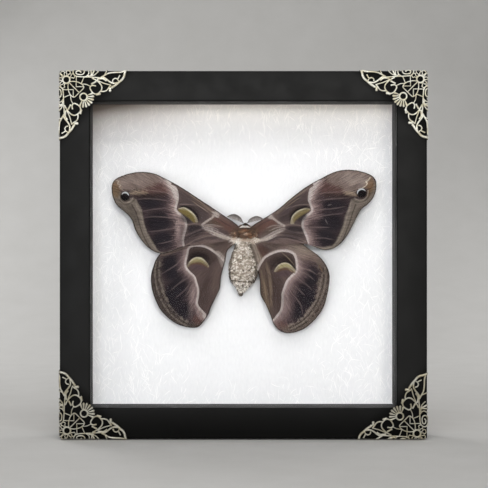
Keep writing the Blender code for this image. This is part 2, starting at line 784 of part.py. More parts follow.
def make_head():
    head = ball("head", HEAD_CENTRE, HEAD_RADII, "thorax_fur", 10, 5)
    x, depth, z = HEAD_CENTRE
    eye = (EYE_RADIUS, EYE_RADIUS, EYE_RADIUS * 0.9)
    cut(head, ball("eye_left", (x - EYE_OFFSET, depth, z), eye, "thorax_fur", 6, 4), "UNION")
    cut(head, ball("eye_right", (x + EYE_OFFSET, depth, z), eye, "thorax_fur", 6, 4), "UNION")


def make_antenna(name, midline):
    """A thin leaf: the comb-like branches of the antenna seen as one sheet."""
    centre = smooth(midline, 3)
    breadths = smooth_breadths(ANTENNA_BREADTHS, 3)
    quads = ribbon(centre, breadths)
    outline = [quads[0][0], *[q[1] for q in quads], *[q[2] for q in reversed(quads)], quads[0][3]]
    flat, faces = fill([outline])

    def near(x, z):
        return moth_place(x, ANTENNA_DEPTH - 0.2, z)

    def far(x, z):
        return moth_place(x, ANTENNA_DEPTH + 0.2, z)

    slab(name, flat, faces, near, far, "antenna", 35)


def make_pin():
    stations = ((PIN_FRONT, PIN_RADIUS), (PIN_BACK - 1.5, PIN_RADIUS), (PIN_BACK, 0.08))
    round_bar("specimen_pin", MOTH_CENTRE, stations, "steel")


def make_moth():
    make_wing("forewing_left", FOREWING_LEFT, forewing_depth)
    make_wing("forewing_right", FOREWING_RIGHT, forewing_depth)
    make_wing("hindwing_left", HINDWING_LEFT, hindwing_depth)
    make_wing("hindwing_right", HINDWING_RIGHT, hindwing_depth)
    make_thorax()
    make_abdomen()
    make_head()
    make_antenna("antenna_left", ANTENNA_LEFT)
    make_antenna("antenna_right", ANTENNA_RIGHT)
    make_pin()


def main():
    clear_scene()
    make_rails()
    make_glass()
    make_spacers()
    make_backing()
    make_glazier_points()
    make_hanger()
    for corner in BRACKET_SHIFT:
        make_bracket(corner)
    make_moth()


main()
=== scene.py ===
"""The looks of a spread silk moth in a square black shadow-box frame with brass corner brackets.

Lengths are in millimetres, and place() turns them into metres. Depths are measured from the
rails' front face towards the back; widths and heights from the middle of the frame or the moth.
"""

import math
import random

import bpy
import numpy as np
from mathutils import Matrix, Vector
from mathutils.geometry import delaunay_2d_cdt


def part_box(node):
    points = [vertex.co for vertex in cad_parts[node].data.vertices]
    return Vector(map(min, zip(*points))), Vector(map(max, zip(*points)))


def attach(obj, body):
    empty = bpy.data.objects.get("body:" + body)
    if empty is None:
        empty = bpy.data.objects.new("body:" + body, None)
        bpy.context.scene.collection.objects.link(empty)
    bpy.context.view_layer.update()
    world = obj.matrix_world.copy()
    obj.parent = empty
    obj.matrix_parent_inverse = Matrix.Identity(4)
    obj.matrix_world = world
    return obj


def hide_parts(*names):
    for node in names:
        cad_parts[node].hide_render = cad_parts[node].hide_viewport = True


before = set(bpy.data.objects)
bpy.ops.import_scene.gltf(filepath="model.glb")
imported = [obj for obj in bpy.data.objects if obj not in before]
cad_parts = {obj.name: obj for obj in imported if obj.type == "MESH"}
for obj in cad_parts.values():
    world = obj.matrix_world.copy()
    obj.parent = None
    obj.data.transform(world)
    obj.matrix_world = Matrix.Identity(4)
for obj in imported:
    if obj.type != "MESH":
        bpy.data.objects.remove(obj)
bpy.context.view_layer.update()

MM = 0.001

# Driving sizes, read from the frame
RAIL_LOW, RAIL_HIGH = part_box("rail_right")
PAPER_LOW, PAPER_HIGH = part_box("backing_paper")
FRONT = RAIL_LOW.y / MM
HALF = RAIL_HIGH.x / MM
FACE_WIDTH = (RAIL_HIGH.x - RAIL_LOW.x) / MM
RAIL_DEPTH = (RAIL_HIGH.y - RAIL_LOW.y) / MM
CENTRE_HEIGHT = (RAIL_LOW.z + RAIL_HIGH.z) / 2 / MM
OPENING_HALF = HALF - FACE_WIDTH
PAPER_DEPTH = (PAPER_LOW.y - RAIL_LOW.y) / MM

MOTH_CENTRE = (1.0, 10.0)

# Camera: where the photograph was taken from, and its crop
CAMERA_DISTANCE = 843.0
CAMERA_SIDE = -21.0
CAMERA_RISE = 10.0
CAMERA_LENS = 127.0
CAMERA_SHIFT = (0.089, -0.020)

# Soft square lamps turned to the middle of the frame: place and breadth in metres, power, colour
LAMPS = {
    "over_lamp": ((0.0, -0.5, 0.8), 0.35, 1.86, (1.0, 0.99, 0.97)),
    "high_lamp": ((0.0, -1.2, 0.38), 0.2, 2.83, (1.0, 0.99, 0.97)),
    "right_lamp": ((0.36, -1.2, 0.15), 0.2, 1.27, (1.0, 0.985, 0.93)),
    "left_lamp": ((-0.35, -1.2, 0.09), 0.2, 1.33, (0.93, 0.965, 1.0)),
    "far_left_lamp": ((-1.0, -1.0, 0.12), 0.3, 1.79, (1.0, 0.99, 0.98)),
    "rear_left_lamp": ((-0.5, 0.7, 0.5), 0.4, 2.2, (1.0, 1.0, 1.0)),
    "rear_right_lamp": ((0.6, 0.6, 0.3), 0.4, 1.4, (1.0, 1.0, 1.0)),
}
SKY_STRENGTH = 0.22

# Colours, as 0-255 screen values
COLOURS = {
    "ink": (35, 32, 37),
    "plum": (58, 47, 49),
    "plum_warm": (80, 64, 70),
    "mauve_dark": (102, 85, 85),
    "mauve": (154, 136, 133),
    "white": (190, 180, 176),
    "silver": (204, 210, 214),
    "pale": (178, 168, 162),
    "cream": (200, 190, 174),
    "sand": (164, 146, 124),
    "vein": (134, 118, 114),
    "crescent": (140, 131, 112),
    "crescent_rim": (196, 188, 166),
    "crescent_olive": (108, 95, 56),
    "crescent_yellow": (153, 145, 104),
    "crescent_brown": (94, 72, 54),
    "apex": (118, 104, 98),
    "apex_pale": (146, 132, 126),
    "rust": (94, 68, 62),
    "rust_base": (92, 62, 52),
    "ochre": (101, 76, 47),
    "margin": (110, 101, 93),
    "margin_dusk": (75, 66, 63),
    "margin_hind": (96, 85, 79),
    "margin_pale": (142, 132, 122),
    "margin_dark": (58, 50, 45),
    "umber": (50, 40, 38),
    "brown": (100, 85, 82),
    "brown_hind": (86, 72, 69),
    "brown_pale": (98, 84, 79),
    "brown_olive": (92, 78, 61),
    "olive_dark": (72, 64, 53),
    "taupe": (110, 95, 89),
    "taupe_pale": (142, 128, 118),
    "taupe_pink": (124, 106, 99),
    "edge": (38, 32, 30),
    "black": (22, 18, 20),
}


# ---------------------------------------------------------------- helpers


def place(x, depth, z):
    """Points in metres from millimetres right of, behind and above the frame's front centre."""
    x, depth, z = np.broadcast_arrays(x, depth, z)
    return np.stack([x, depth + FRONT, z + CENTRE_HEIGHT], axis=-1) * MM


def moth_place(x, depth, z):
    """The same, measured from the moth's centre."""
    return place(np.asarray(x) + MOTH_CENTRE[0], depth, np.asarray(z) + MOTH_CENTRE[1])


def srgb(colour):
    """A colour of 0-255 screen values, or its name, as linear RGBA."""
    values = COLOURS[colour] if isinstance(colour, str) else colour
    return (*[((v / 255 + 0.055) / 1.055) ** 2.4 if v > 10 else v / 255 / 12.92 for v in values], 1.0)


def unit(vector):
    """The vector at a length of one."""
    return vector / max(np.linalg.norm(vector), 1e-9)


def clamp(value, low=0.0, high=1.0):
    return min(max(value, low), high)


def add_mesh(name, points, faces, material, smooth_angle=60.0, **values):
    """One object from points in metres; values are numbers kept for each point."""
    mesh = bpy.data.meshes.new(name)
    mesh.from_pydata(np.asarray(points).tolist(), [], faces)
    for key, numbers in values.items():
        kept = mesh.attributes.new(key, "FLOAT", "POINT")
        kept.data.foreach_set("value", np.asarray(numbers, dtype=np.float32))
    mesh.shade_smooth()
    mesh.set_sharp_from_angle(angle=math.radians(smooth_angle))
    made = bpy.data.objects.new(name, mesh)
    bpy.context.scene.collection.objects.link(made)
    mesh.materials.append(material)
    return made


def dress(piece, slot, *nodes):
    """Fixes a piece of the object to the frame, in place of some of its nodes."""
    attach(piece, "root")
    if nodes:
        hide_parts(*nodes)


def in_pairs(numbers):
    """Points from numbers that follow one another."""
    return np.reshape(numbers, (-1, 2))


def smooth(points, steps, closed=False):
    """Points of a smooth curve through the given ones, with steps spans between each pair."""
    given = np.asarray(points, dtype=float)
    if closed:
        ends = np.vstack([given[-1:], given, given[:2]])
    else:
        ends = np.vstack([2 * given[:1] - given[1:2], given, 2 * given[-1:] - given[-2:-1]])
    t = (np.arange(steps) / steps)[:, None]
    made = []
    for before, start, end, after in zip(ends, ends[1:], ends[2:], ends[3:]):
        bend = 2 * before - 5 * start + 4 * end - after
        twist = 3 * start - before - 3 * end + after
        made.append(0.5 * (2 * start + (end - before) * t + bend * t**2 + twist * t**3))
    if not closed:
        made.append(given[-1:])
    return np.vstack(made)


def nearest(points, curve, closed=False):
    """How far each point is from a polyline, and where along it from 0 to 1."""
    line = np.vstack([curve, curve[:1]]) if closed else curve
    starts = line[:-1]
    spans = line[1:] - starts
    lengths = np.maximum(np.hypot(*spans.T), 1e-9)
    run = np.concatenate([[0.0], np.cumsum(lengths)])
    best = np.full(len(points), 1e9)
    along = np.zeros(len(points))
    for start, span, length, before in zip(starts, spans, lengths, run):
        t = np.clip((points - start) @ span / length**2, 0.0, 1.0)
        away = np.hypot(*(points - start - t[:, None] * span).T)
        closer = away < best
        best[closer] = away[closer]
        along[closer] = (before + t[closer] * length) / run[-1]
    return best, along


def inside(points, outline):
    """Which points are in a closed outline."""
    x, z = points.T
    result = np.zeros(len(points), dtype=bool)
    for (ax, az), (bx, bz) in zip(outline, np.roll(outline, -1, axis=0)):
        if az != bz:
            result ^= ((az > z) != (bz > z)) & (x < ax + (z - az) / (bz - az) * (bx - ax))
    return result


def tube_faces(rows, sides, closed=False):
    """Faces over rows of points round a tube, either with flat ends or closed to a ring."""
    total = rows * sides
    faces = []
    for row in range(rows if closed else rows - 1):
        for k in range(sides):
            a, b = row * sides + k, row * sides + (k + 1) % sides
            faces.append((a, (a + sides) % total, (b + sides) % total, b))
    if closed:
        return faces
    return [tuple(range(sides)), *faces, tuple(reversed(range(total - sides, total)))]


def turned(faces):
    """The same faces, seen from their other side."""
    return [face[::-1] for face in faces]


# ---------------------------------------------------------------- material helpers


class Look:
    """A node material around one Principled shader."""

    def __init__(self, name, roughness=0.5, metallic=0.0):
        self.material = bpy.data.materials.new(name)
        self.material.use_nodes = True
        self.tree = self.material.node_tree
        self.shader = self.tree.nodes["Principled BSDF"]
        self.set(Roughness=roughness, Metallic=metallic)

    def add(self, kind, inputs=(), **settings):
        """A node of a kind, with inputs given as pairs of socket and value or other socket."""
        node = self.tree.nodes.new(kind)
        for key, value in settings.items():
            setattr(node, key, value)
        for socket, value in dict(inputs).items():
            self.feed(node.inputs[socket], value)
        return node

    def feed(self, socket, value):
        if isinstance(value, bpy.types.NodeSocket):
            self.tree.links.new(value, socket)
        else:
            socket.default_value = value

    def set(self, **inputs):
        for key, value in inputs.items():
            self.feed(self.shader.inputs[key.replace("_", " ")], value)

    def value(self, name, output="Fac"):
        return self.add("ShaderNodeAttribute", attribute_name=name).outputs[output]

    def place(self):
        return self.add("ShaderNodeTexCoord").outputs["Object"]

    def split(self, vector):
        """The x and z of a vector."""
        parts = self.add("ShaderNodeSeparateXYZ", {"Vector": vector}).outputs
        return parts["X"], parts["Z"]

    def noise(self, scale, detail=2.0, where=None, roughness=0.5):
        inputs = {"Scale": scale, "Detail": detail, "Roughness": roughness}
        inputs["Vector"] = where or self.place()
        return self.add("ShaderNodeTexNoise", inputs).outputs["Fac"]

    def unrest(self, *settings):
        """Noise that swings about nought."""
        return self.math("SUBTRACT", self.noise(*settings), 0.5)

    def stretched(self, *scales):
        """The object's own coordinates, stretched."""
        return self.add("ShaderNodeMapping", {"Vector": self.place(), "Scale": scales}).outputs[0]

    def math(self, operation, first, second=0.0, third=0.0):
        inputs = {0: first, 1: second, 2: third}
        return self.add("ShaderNodeMath", inputs, operation=operation).outputs[0]

    def ranged(self, value, low, high, to_low=0.0, to_high=1.0):
        """The value carried smoothly from one range to another."""
        inputs = {"Value": value, "From Min": low, "From Max": high}
        inputs |= {"To Min": to_low, "To Max": to_high}
        return self.add("ShaderNodeMapRange", inputs, interpolation_type="SMOOTHSTEP").outputs[0]

    def mix(self, share, first, second, blend="MIX"):
        """One colour over another; a colour is a socket, a name or screen values."""
        colours = [c if isinstance(c, bpy.types.NodeSocket) else srgb(c) for c in (first, second)]
        inputs = {0: share, 6: colours[0], 7: colours[1]}
        return self.add("ShaderNodeMix", inputs, data_type="RGBA", blend_type=blend).outputs[2]

    def bump(self, height, strength, distance):
        inputs = {"Height": height, "Strength": strength, "Distance": distance}
        self.set(Normal=self.add("ShaderNodeBump", inputs).outputs["Normal"])


# ---------------------------------------------------------------- materials

# Painted shade under the brackets, as less sheen near their corners: distances across plus up from the
# middle, in metres
BRACKET_SHADE_START = 0.141
BRACKET_SHADE_END = 0.149

# Painted shade in the paper's upper left corner: where the corner is, and how far the shade reaches
# across and down
SHADE_CORNER = (-75.3, 74.1)
SHADE_ACROSS = 58.0
SHADE_DOWN = 11.0
CORNER_SHADE = (108, 97, 90)
CORNER_SHADE_STRENGTH = 1.24
# A warm painted shade along the top: how far down it reaches, and its tint
WARM_SHADE_DOWN = 8.0
WARM_SHADE_TINT = (255, 246.4, 234.9)


def black_wood():
    """Satin black paint: faint grain, an uneven sheen, and painted shade that dulls the sheen at the foot
    and near the brackets.
    """
    look = Look("satin_black_paint")
    cloud = look.noise(90.0, 4.0)
    look.set(Base_Color=look.mix(cloud, (10, 10, 10), (16, 16, 15)))
    look.set(Roughness=look.ranged(cloud, 0.3, 0.7, 0.42, 0.52))
    across, height = look.split(look.place())
    rise = look.math("ABSOLUTE", look.math("SUBTRACT", height, CENTRE_HEIGHT * MM))
    corner = look.math("ADD", look.math("ABSOLUTE", across), rise)
    # Painted shade: less sheen near the brackets' corners
    bracket_shade = look.ranged(corner, BRACKET_SHADE_START, BRACKET_SHADE_END, 1.0, 0.35)
    # Painted shade: less sheen at the foot of the frame
    gloss_foot_shade = look.ranged(height, 0.0, 0.03, 0.05, 0.17)
    look.set(Specular_IOR_Level=look.math("MULTIPLY", gloss_foot_shade, bracket_shade))
    look.bump(look.noise(2600.0, 3.0), 0.25, 0.00004)
    return look.material


def clear_glass():
    """Clear glass that faintly mirrors the room and lets the lamps through."""
    look = Look("clear_pane")
    smear = look.noise(30.0, 3.0)
    look.set(Transmission_Weight=1.0, IOR=1.12, Roughness=look.ranged(smear, 0.3, 0.7, 0.0, 0.015))
    look.set(Base_Color=(1.0, 1.0, 1.0, 1.0))
    clear = look.add("ShaderNodeBsdfTransparent")
    to_lamp = look.add("ShaderNodeLightPath").outputs["Is Shadow Ray"]
    inputs = {0: to_lamp, 1: look.shader.outputs[0], 2: clear.outputs[0]}
    both = look.add("ShaderNodeMixShader", inputs)
    look.feed(look.tree.nodes["Material Output"].inputs["Surface"], both.outputs[0])
    return look.material


def card(name, roughness, scale, stretch, dark, pale, relief):
    """Board of short fibres, in shades between two colours."""
    look = Look(name, roughness)
    fibre = look.noise(scale, 4.0, look.stretched(1.0, 1.0, stretch))
    look.set(Base_Color=look.mix(fibre, dark, pale))
    look.bump(fibre, 0.4, relief)
    return look.material


def corner_shaded(look, colour, where, stretch, start):
    """The colour, with painted shade darkening it towards the upper left corner and a warmer painted
    shade along the top.
    """
    inputs = {0: where, 1: stretch, 2: start}
    spot = look.add("ShaderNodeVectorMath", inputs, operation="MULTIPLY_ADD").outputs[0]
    x, z = look.split(spot)
    left, top = SHADE_CORNER
    across = look.math("MULTIPLY_ADD", x, -1 / SHADE_ACROSS, 1 + left / SHADE_ACROSS)
    height = look.math("SUBTRACT", z, top)
    down = look.math("EXPONENT", look.math("DIVIDE", height, SHADE_DOWN))
    share = look.math("MULTIPLY", look.math("MAXIMUM", across, 0.0), down)
    share = look.math("MINIMUM", look.math("MULTIPLY", share, CORNER_SHADE_STRENGTH), 1.0)
    # Warm painted shade, strongest at the top edge
    warm = look.math("MINIMUM", look.math("EXPONENT", look.math("DIVIDE", height, WARM_SHADE_DOWN)), 1.0)
    return look.mix(warm, look.mix(share, colour, CORNER_SHADE), WARM_SHADE_TINT, "MULTIPLY")


def pearl_paper():
    """White paper with a fine tooth, and painted shade at its upper left corner and along its top."""
    look = Look("pearl_paper")
    fibre = look.noise(1000.0, 5.0, look.stretched(1.0, 1.0, 0.35))
    cloud = look.ranged(look.noise(60.0, 3.0), 0.3, 0.7, 0.0, 0.25)
    shade = look.mix(cloud, look.mix(fibre, (214, 215, 218), (228, 229, 231)), (230, 230, 234))
    where = look.add("ShaderNodeTexCoord").outputs["Generated"]
    start = (PAPER_LOW.x / MM, 0.0, PAPER_LOW.z / MM - CENTRE_HEIGHT)
    look.set(Base_Color=corner_shaded(look, shade, where, (PAPER_HIGH - PAPER_LOW) / MM, start))
    look.bump(fibre, 0.3, 0.0001)
    return look.material


def paper_strand():
    """The brighter fibres in the paper."""
    look = Look("paper_strand", 0.35)
    along = look.noise(500.0, 3.0)
    shade = look.mix(along, (227, 227, 229), (243, 243, 244))
    start = (0.0, 0.0, -CENTRE_HEIGHT)
    # Painted shade at the upper left corner and along the top, as on the paper
    look.set(Base_Color=corner_shaded(look, shade, look.place(), (1 / MM, 1 / MM, 1 / MM), start))
    look.bump(along, 0.3, 0.00005)
    return look.material


def brown_board():
    """Pressed brown board: short fibres in all directions."""
    look = Look("brown_hardboard", 0.7)
    fibre = look.noise(700.0, 6.0, roughness=0.7)
    flecks = look.ranged(look.noise(2600.0, 2.0, look.stretched(0.3, 1.0, 1.0)), 0.6, 0.7)
    shade = look.mix(fibre, (112, 80, 52), (158, 121, 84))
    look.set(Base_Color=look.mix(flecks, shade, (86, 60, 40)))
    look.bump(fibre, 0.5, 0.00015)
    return look.material


def steel():
    """Zinc-plated steel, faintly brushed."""
    look = Look("zinc_plated_steel", metallic=1.0)
    cloud = look.noise(500.0, 4.0)
    brushed = look.noise(6000.0, 2.0, look.stretched(0.05, 1.0, 1.0))
    look.set(Base_Color=look.mix(cloud, (176, 176, 174), (206, 206, 208)))
    look.set(Roughness=look.ranged(brushed, 0.2, 0.8, 0.28, 0.45))
    look.bump(brushed, 0.2, 0.00003)
    return look.material


def antique_brass():
    """Stamped brass: patina and painted shade darken each bar low down, rubbed brass and a painted
    highlight make its crown pale, and painted shade darkens the lower brackets.
    """
    look = Look("antique_brass", metallic=0.45)
    cloud = look.noise(420.0, 4.0)
    pits = look.unrest(3600.0, 3.0)
    # Dark patina with painted shade low on each bar, pale rubbed brass with a painted highlight on its
    # crown
    high = look.ranged(look.math("MULTIPLY_ADD", pits, 0.5, look.value("height")), 0.34, 0.7)
    bright = look.mix(look.ranged(cloud, 0.4, 0.65), (250, 248, 236), (222, 214, 188))
    level = look.split(look.place())[1]
    # Painted shade: the lower brackets are darker
    lower_bracket_shade = look.ranged(level, 0.05, 0.13, 0.5, 0.0)
    bright = look.mix(lower_bracket_shade, bright, (90, 80, 54))
    look.set(Base_Color=look.mix(high, (26, 23, 18), bright))
    look.set(Roughness=look.ranged(high, 0.0, 1.0, 0.65, 0.34))
    look.bump(pits, 0.35, 0.00006)
    return look.material


# Wing scales: their mean shade, and how much the streaks and the grain change it. The streaks
# also break the edges of the markings whose soft edge is broader than BROAD_EDGE.
GROUND = "plum"
SCALE_SHADE = 0.75
STREAK_SHADE = 1.2
GRAIN_SHADE = 0.9
BROAD_EDGE = 1.5


def scales(name, marks):
    """Wing scales: a ground colour with each marking painted over it in turn."""
    look = Look(name, 0.9)
    broad = look.unrest(260.0, 3.0)
    ragged = look.unrest(1500.0, 3.0)
    crinkle = look.unrest(520.0, 2.0)
    streak = look.unrest(1.0, 3.0, look.value("fan", "Vector"))
    pale_ground = [v + 8 for v in COLOURS[GROUND]]
    colour = look.mix(look.ranged(broad, -0.2, 0.2), GROUND, pale_ground)
    for number, (tint, soft, wobble, strength, *_) in enumerate(marks):
        rough = crinkle if "margin" in tint else ragged
        distance = look.math("MULTIPLY_ADD", rough, wobble, look.value(f"mark_{number}"))
        if soft > BROAD_EDGE:
            distance = look.math("MULTIPLY_ADD", streak, 1.3 * wobble, distance)
        share = look.ranged(distance, -soft / 2, soft / 2, 0.0, strength)
        colour = look.mix(share, colour, tint)
    rim = look.math("MULTIPLY_ADD", crinkle, 0.7, look.value("rim"))
    colour = look.mix(look.ranged(rim, 0.7, 0.15, 0.0, 0.9), colour, "edge")
    grain = look.unrest(3400.0, 2.0)
    lit = look.math("MULTIPLY_ADD", streak, STREAK_SHADE, SCALE_SHADE)
    lit = look.math("MULTIPLY_ADD", grain, GRAIN_SHADE, lit)
    grey = look.add("ShaderNodeCombineColor", {0: lit, 1: lit, 2: lit}).outputs[0]
    look.set(Base_Color=look.mix(1.0, colour, grey, "MULTIPLY"), Specular_IOR_Level=0.06)
    look.bump(grain, 0.35, 0.00006)
    return look.material


def fur(name, root, stops):
    """Hair: dark at the root, its tips spread over a few shades by each hair's tone."""
    look = Look(name, 0.8)
    ramp = look.add("ShaderNodeValToRGB", {"Fac": look.value("tone")})
    elements = ramp.color_ramp.elements
    while len(elements) < len(stops):
        elements.new(0.5)
    for element, (where, tip) in zip(elements, stops):
        element.position = where
        element.color = srgb(tip)
    colour = look.mix(look.ranged(look.value("tip"), 0.05, 0.75), root, ramp.outputs["Color"])
    grain = look.noise(2200.0, 2.0)
    look.set(Base_Color=look.mix(look.ranged(grain, 0.35, 0.65, 0.0, 0.25), colour, root))
    look.set(Specular_IOR_Level=0.1)
    return look.material


# ---------------------------------------------------------------- the moth's measures

# Wing outlines from the root round the tip: points right of and above the moth's centre
FOREWING_LEFT = (
    (-5.6, 5.3), (-14.7, 12.2), (-22.2, 17.2), (-32.2, 23.7), (-39.6, 27.7), (-44.6, 30), (-49.6, 30.9),
    (-54.6, 30.7), (-59.5, 29.5), (-64.5, 27.1), (-66.1, 23.3), (-65.3, 17.5), (-63, 13.8),
    (-59.2, 10.6), (-56.2, 7.1), (-54.5, 2.2), (-51.9, -2.3), (-48.3, -6.4), (-44.7, -8.8),
    (-41.1, -9.7), (-37.1, -8.9), (-30.2, -6.3), (-21.2, -5.2), (-11.2, -3.4), (-5.9, -2),
)
FOREWING_RIGHT = (
    (5.8, 4.9), (15.1, 11.4), (22.6, 17.6), (30.1, 23.3), (37.6, 27.6), (45, 31.1), (52.5, 32),
    (60, 30.5), (64.2, 28), (65.3, 24.1), (64.2, 19.1), (61.7, 15.5), (58, 12.4), (55.7, 8.6),
    (53.5, 4.2), (50.8, -0.6), (47.5, -4.8), (43, -7.5), (38.1, -7.7), (31.3, -5.3), (22.6, -4.8),
    (12.7, -4.4), (6, -2.6),
)
HINDWING_LEFT = (
    (-5.7, -3.3), (-8.3, -7.8), (-9.8, -13.8), (-11.7, -20.7), (-12.3, -26.7), (-14.2, -31),
    (-16.7, -36.2), (-18.2, -40.2), (-22.2, -45.5), (-25.7, -46.6), (-31.7, -45.6), (-37.1, -42.6),
    (-41.9, -37.7), (-44.9, -31.7), (-46.5, -25.7), (-46.6, -20.2), (-45.3, -15.3), (-43.6, -11.5),
    (-40.1, -7.8), (-32.2, -2.8), (-19.7, 0.2), (-9.8, -0.8),
)
HINDWING_RIGHT = (
    (5.7, -3.3), (3.4, -8.8), (5.4, -15.3), (7.4, -22.7), (7.9, -30), (10.4, -34.9), (12.7, -40.2),
    (14.9, -45.6), (18.9, -48.9), (24.1, -49.1), (30.1, -46.8), (35.3, -42.2), (39.1, -36.7),
    (41, -30.7), (42.3, -21.7), (41, -16.3), (37.6, -11.5), (32.6, -7.6), (26.6, -3.3), (17.6, -0.3),
    (9, -1),
)

# Body rings from the neck to the tail: height, middle, half width, half depth
THORAX_RINGS = (
    (3.7, 0, 1.6, 1.5), (3.1, 0, 3.4, 3.1), (1.6, 0, 4.7, 4.1), (0, 0.1, 5, 4.4), (-1.6, 0.1, 4.7, 4.3),
    (-2.8, 0, 3.9, 3.6), (-3.3, -0.1, 2.4, 2.2),
)
WOOL_RINGS = (
    (-2.6, -0.3, 3.4, 3.4), (-6.1, -0.8, 4.3, 4.1), (-8.6, -0.8, 5.2, 4.4), (-12.4, -0.9, 6.6, 4.7),
    (-16.9, -0.8, 7.3, 4.7), (-20.6, -0.7, 7, 4.5), (-22.9, -0.9, 6.1, 4.2), (-25.2, -1.1, 4.2, 3.4),
    (-27.7, -1.5, 2.1, 2.1), (-29.3, -2, 1.1, 1.1), (-30.3, -2.1, 0.4, 0.4),
)
HEAD_CENTRE = (0.3, 13.4, 4.9)
HEAD_RADII = (0.9, 1.4, 0.7)
EYE_RADII = (0.45, 0.45, 0.405)
EYE_OFFSET = 1.05

# Midlines of the antennae, from the head to the tip
ANTENNA_LEFT = ((-0.8, 5.5), (-2.2, 8.2), (-4.6, 9.8), (-7, 9.7), (-9, 8.6))
ANTENNA_RIGHT = ((1.2, 5.5), (2.6, 7.6), (5.4, 8.9), (7.6, 8.5), (9.4, 7.4))

# Legs of the right side, folded under the body: joints right of and above the moth's centre,
# and behind the rails' front
LEGS = (
    ((1.4, 1.8, 18.2), (2.6, 3.0, 18.7), (2.2, 4.2, 17.9), (1.2, 4.6, 17.4)),
    ((2.4, 0.2, 18.2), (4.2, 0.6, 18.8), (4.4, -2.0, 18.4), (3.4, -3.6, 18.4)),
    ((1.9, -1.4, 18.4), (3.4, -3.2, 18.9), (3.4, -7.0, 18.9), (2.6, -9.6, 19.1)),
)
LEG_RADII = (0.75, 0.6, 0.4, 0.25)


# ---------------------------------------------------------------- wing markings
# Each marking has its colour, the breadth of its soft edge, how ragged that edge is, how strongly
# it covers what lies below, and its shapes. Points follow one another as numbers, right of and
# above the moth's centre.


def patch(*numbers):
    """A closed patch with a smooth outline through points."""
    return "patch", *numbers


def line(*numbers):
    """A smooth line: the distance from its middle to its side, then its points."""
    return "line", *numbers


def leaf(*numbers):
    """The same, tapering to both ends."""
    return "leaf", *numbers


def blot(*numbers):
    """An oval: its centre, half width, half height and turn in degrees."""
    return "blot", *numbers


# Course of the pale line across each wing, which several markings follow
FOREWING_LEFT_LINE = (-36.1, 25.6, -34.2, 23.6, -33.2, 21.6, -32.8, 19.1, -32.9, 17.1, -33.4, 14.6,
    -33.9, 12.6, -32.7, 11.1, -31, 9.6, -29.2, 7.4, -28.6, 4.7, -29, 2.2, -29.7, -0.3, -30.2, -2.8,
    -29.9, -5.3, -29.2, -6.8)
FOREWING_RIGHT_LINE = (33.6, 25.1, 32.2, 22.6, 31.5, 19.8, 31.3, 17.1, 32.1, 14.6, 32.9, 12.1, 32.1, 10.9,
    30.4, 9.6, 28.6, 7.4, 28.1, 4.7, 28.6, 2.2, 29.8, -0.3, 30.7, -2.8, 30.8, -6.3)
HINDWING_LEFT_LINE = (-9.3, -16.8, -10.2, -14.5, -12.2, -12, -14.7, -9.8, -17.2, -8, -19.7, -6.8,
    -22.7, -6.2, -25.7, -6.3, -27.5, -7.3, -28.2, -10.3, -28.8, -12.8, -29.1, -15.3, -28.2, -17.3,
    -26.4, -19.2, -24.6, -21.1, -23.6, -24.2, -22.7, -27.7, -22.9, -31.2, -23.4, -34.2, -22.5, -36.2,
    -20.7, -38.2, -19.2, -39.9, -18.2, -42.2)
HINDWING_RIGHT_LINE = (5.9, -19.8, 7.4, -16.8, 8.9, -14, 10.4, -12, 13.2, -10.3, 16.1, -9.2, 19.1, -8.8,
    21.9, -9.1, 24.1, -10.3, 25.1, -12.8, 25.4, -15.8, 25.1, -18.3, 22.7, -20.7, 20.6, -23.2, 19.4, -26.2,
    18.4, -29.2, 18.2, -32.7, 18.1, -35.7, 17.3, -38.2, 15.4, -40.7, 13.2, -42.9)

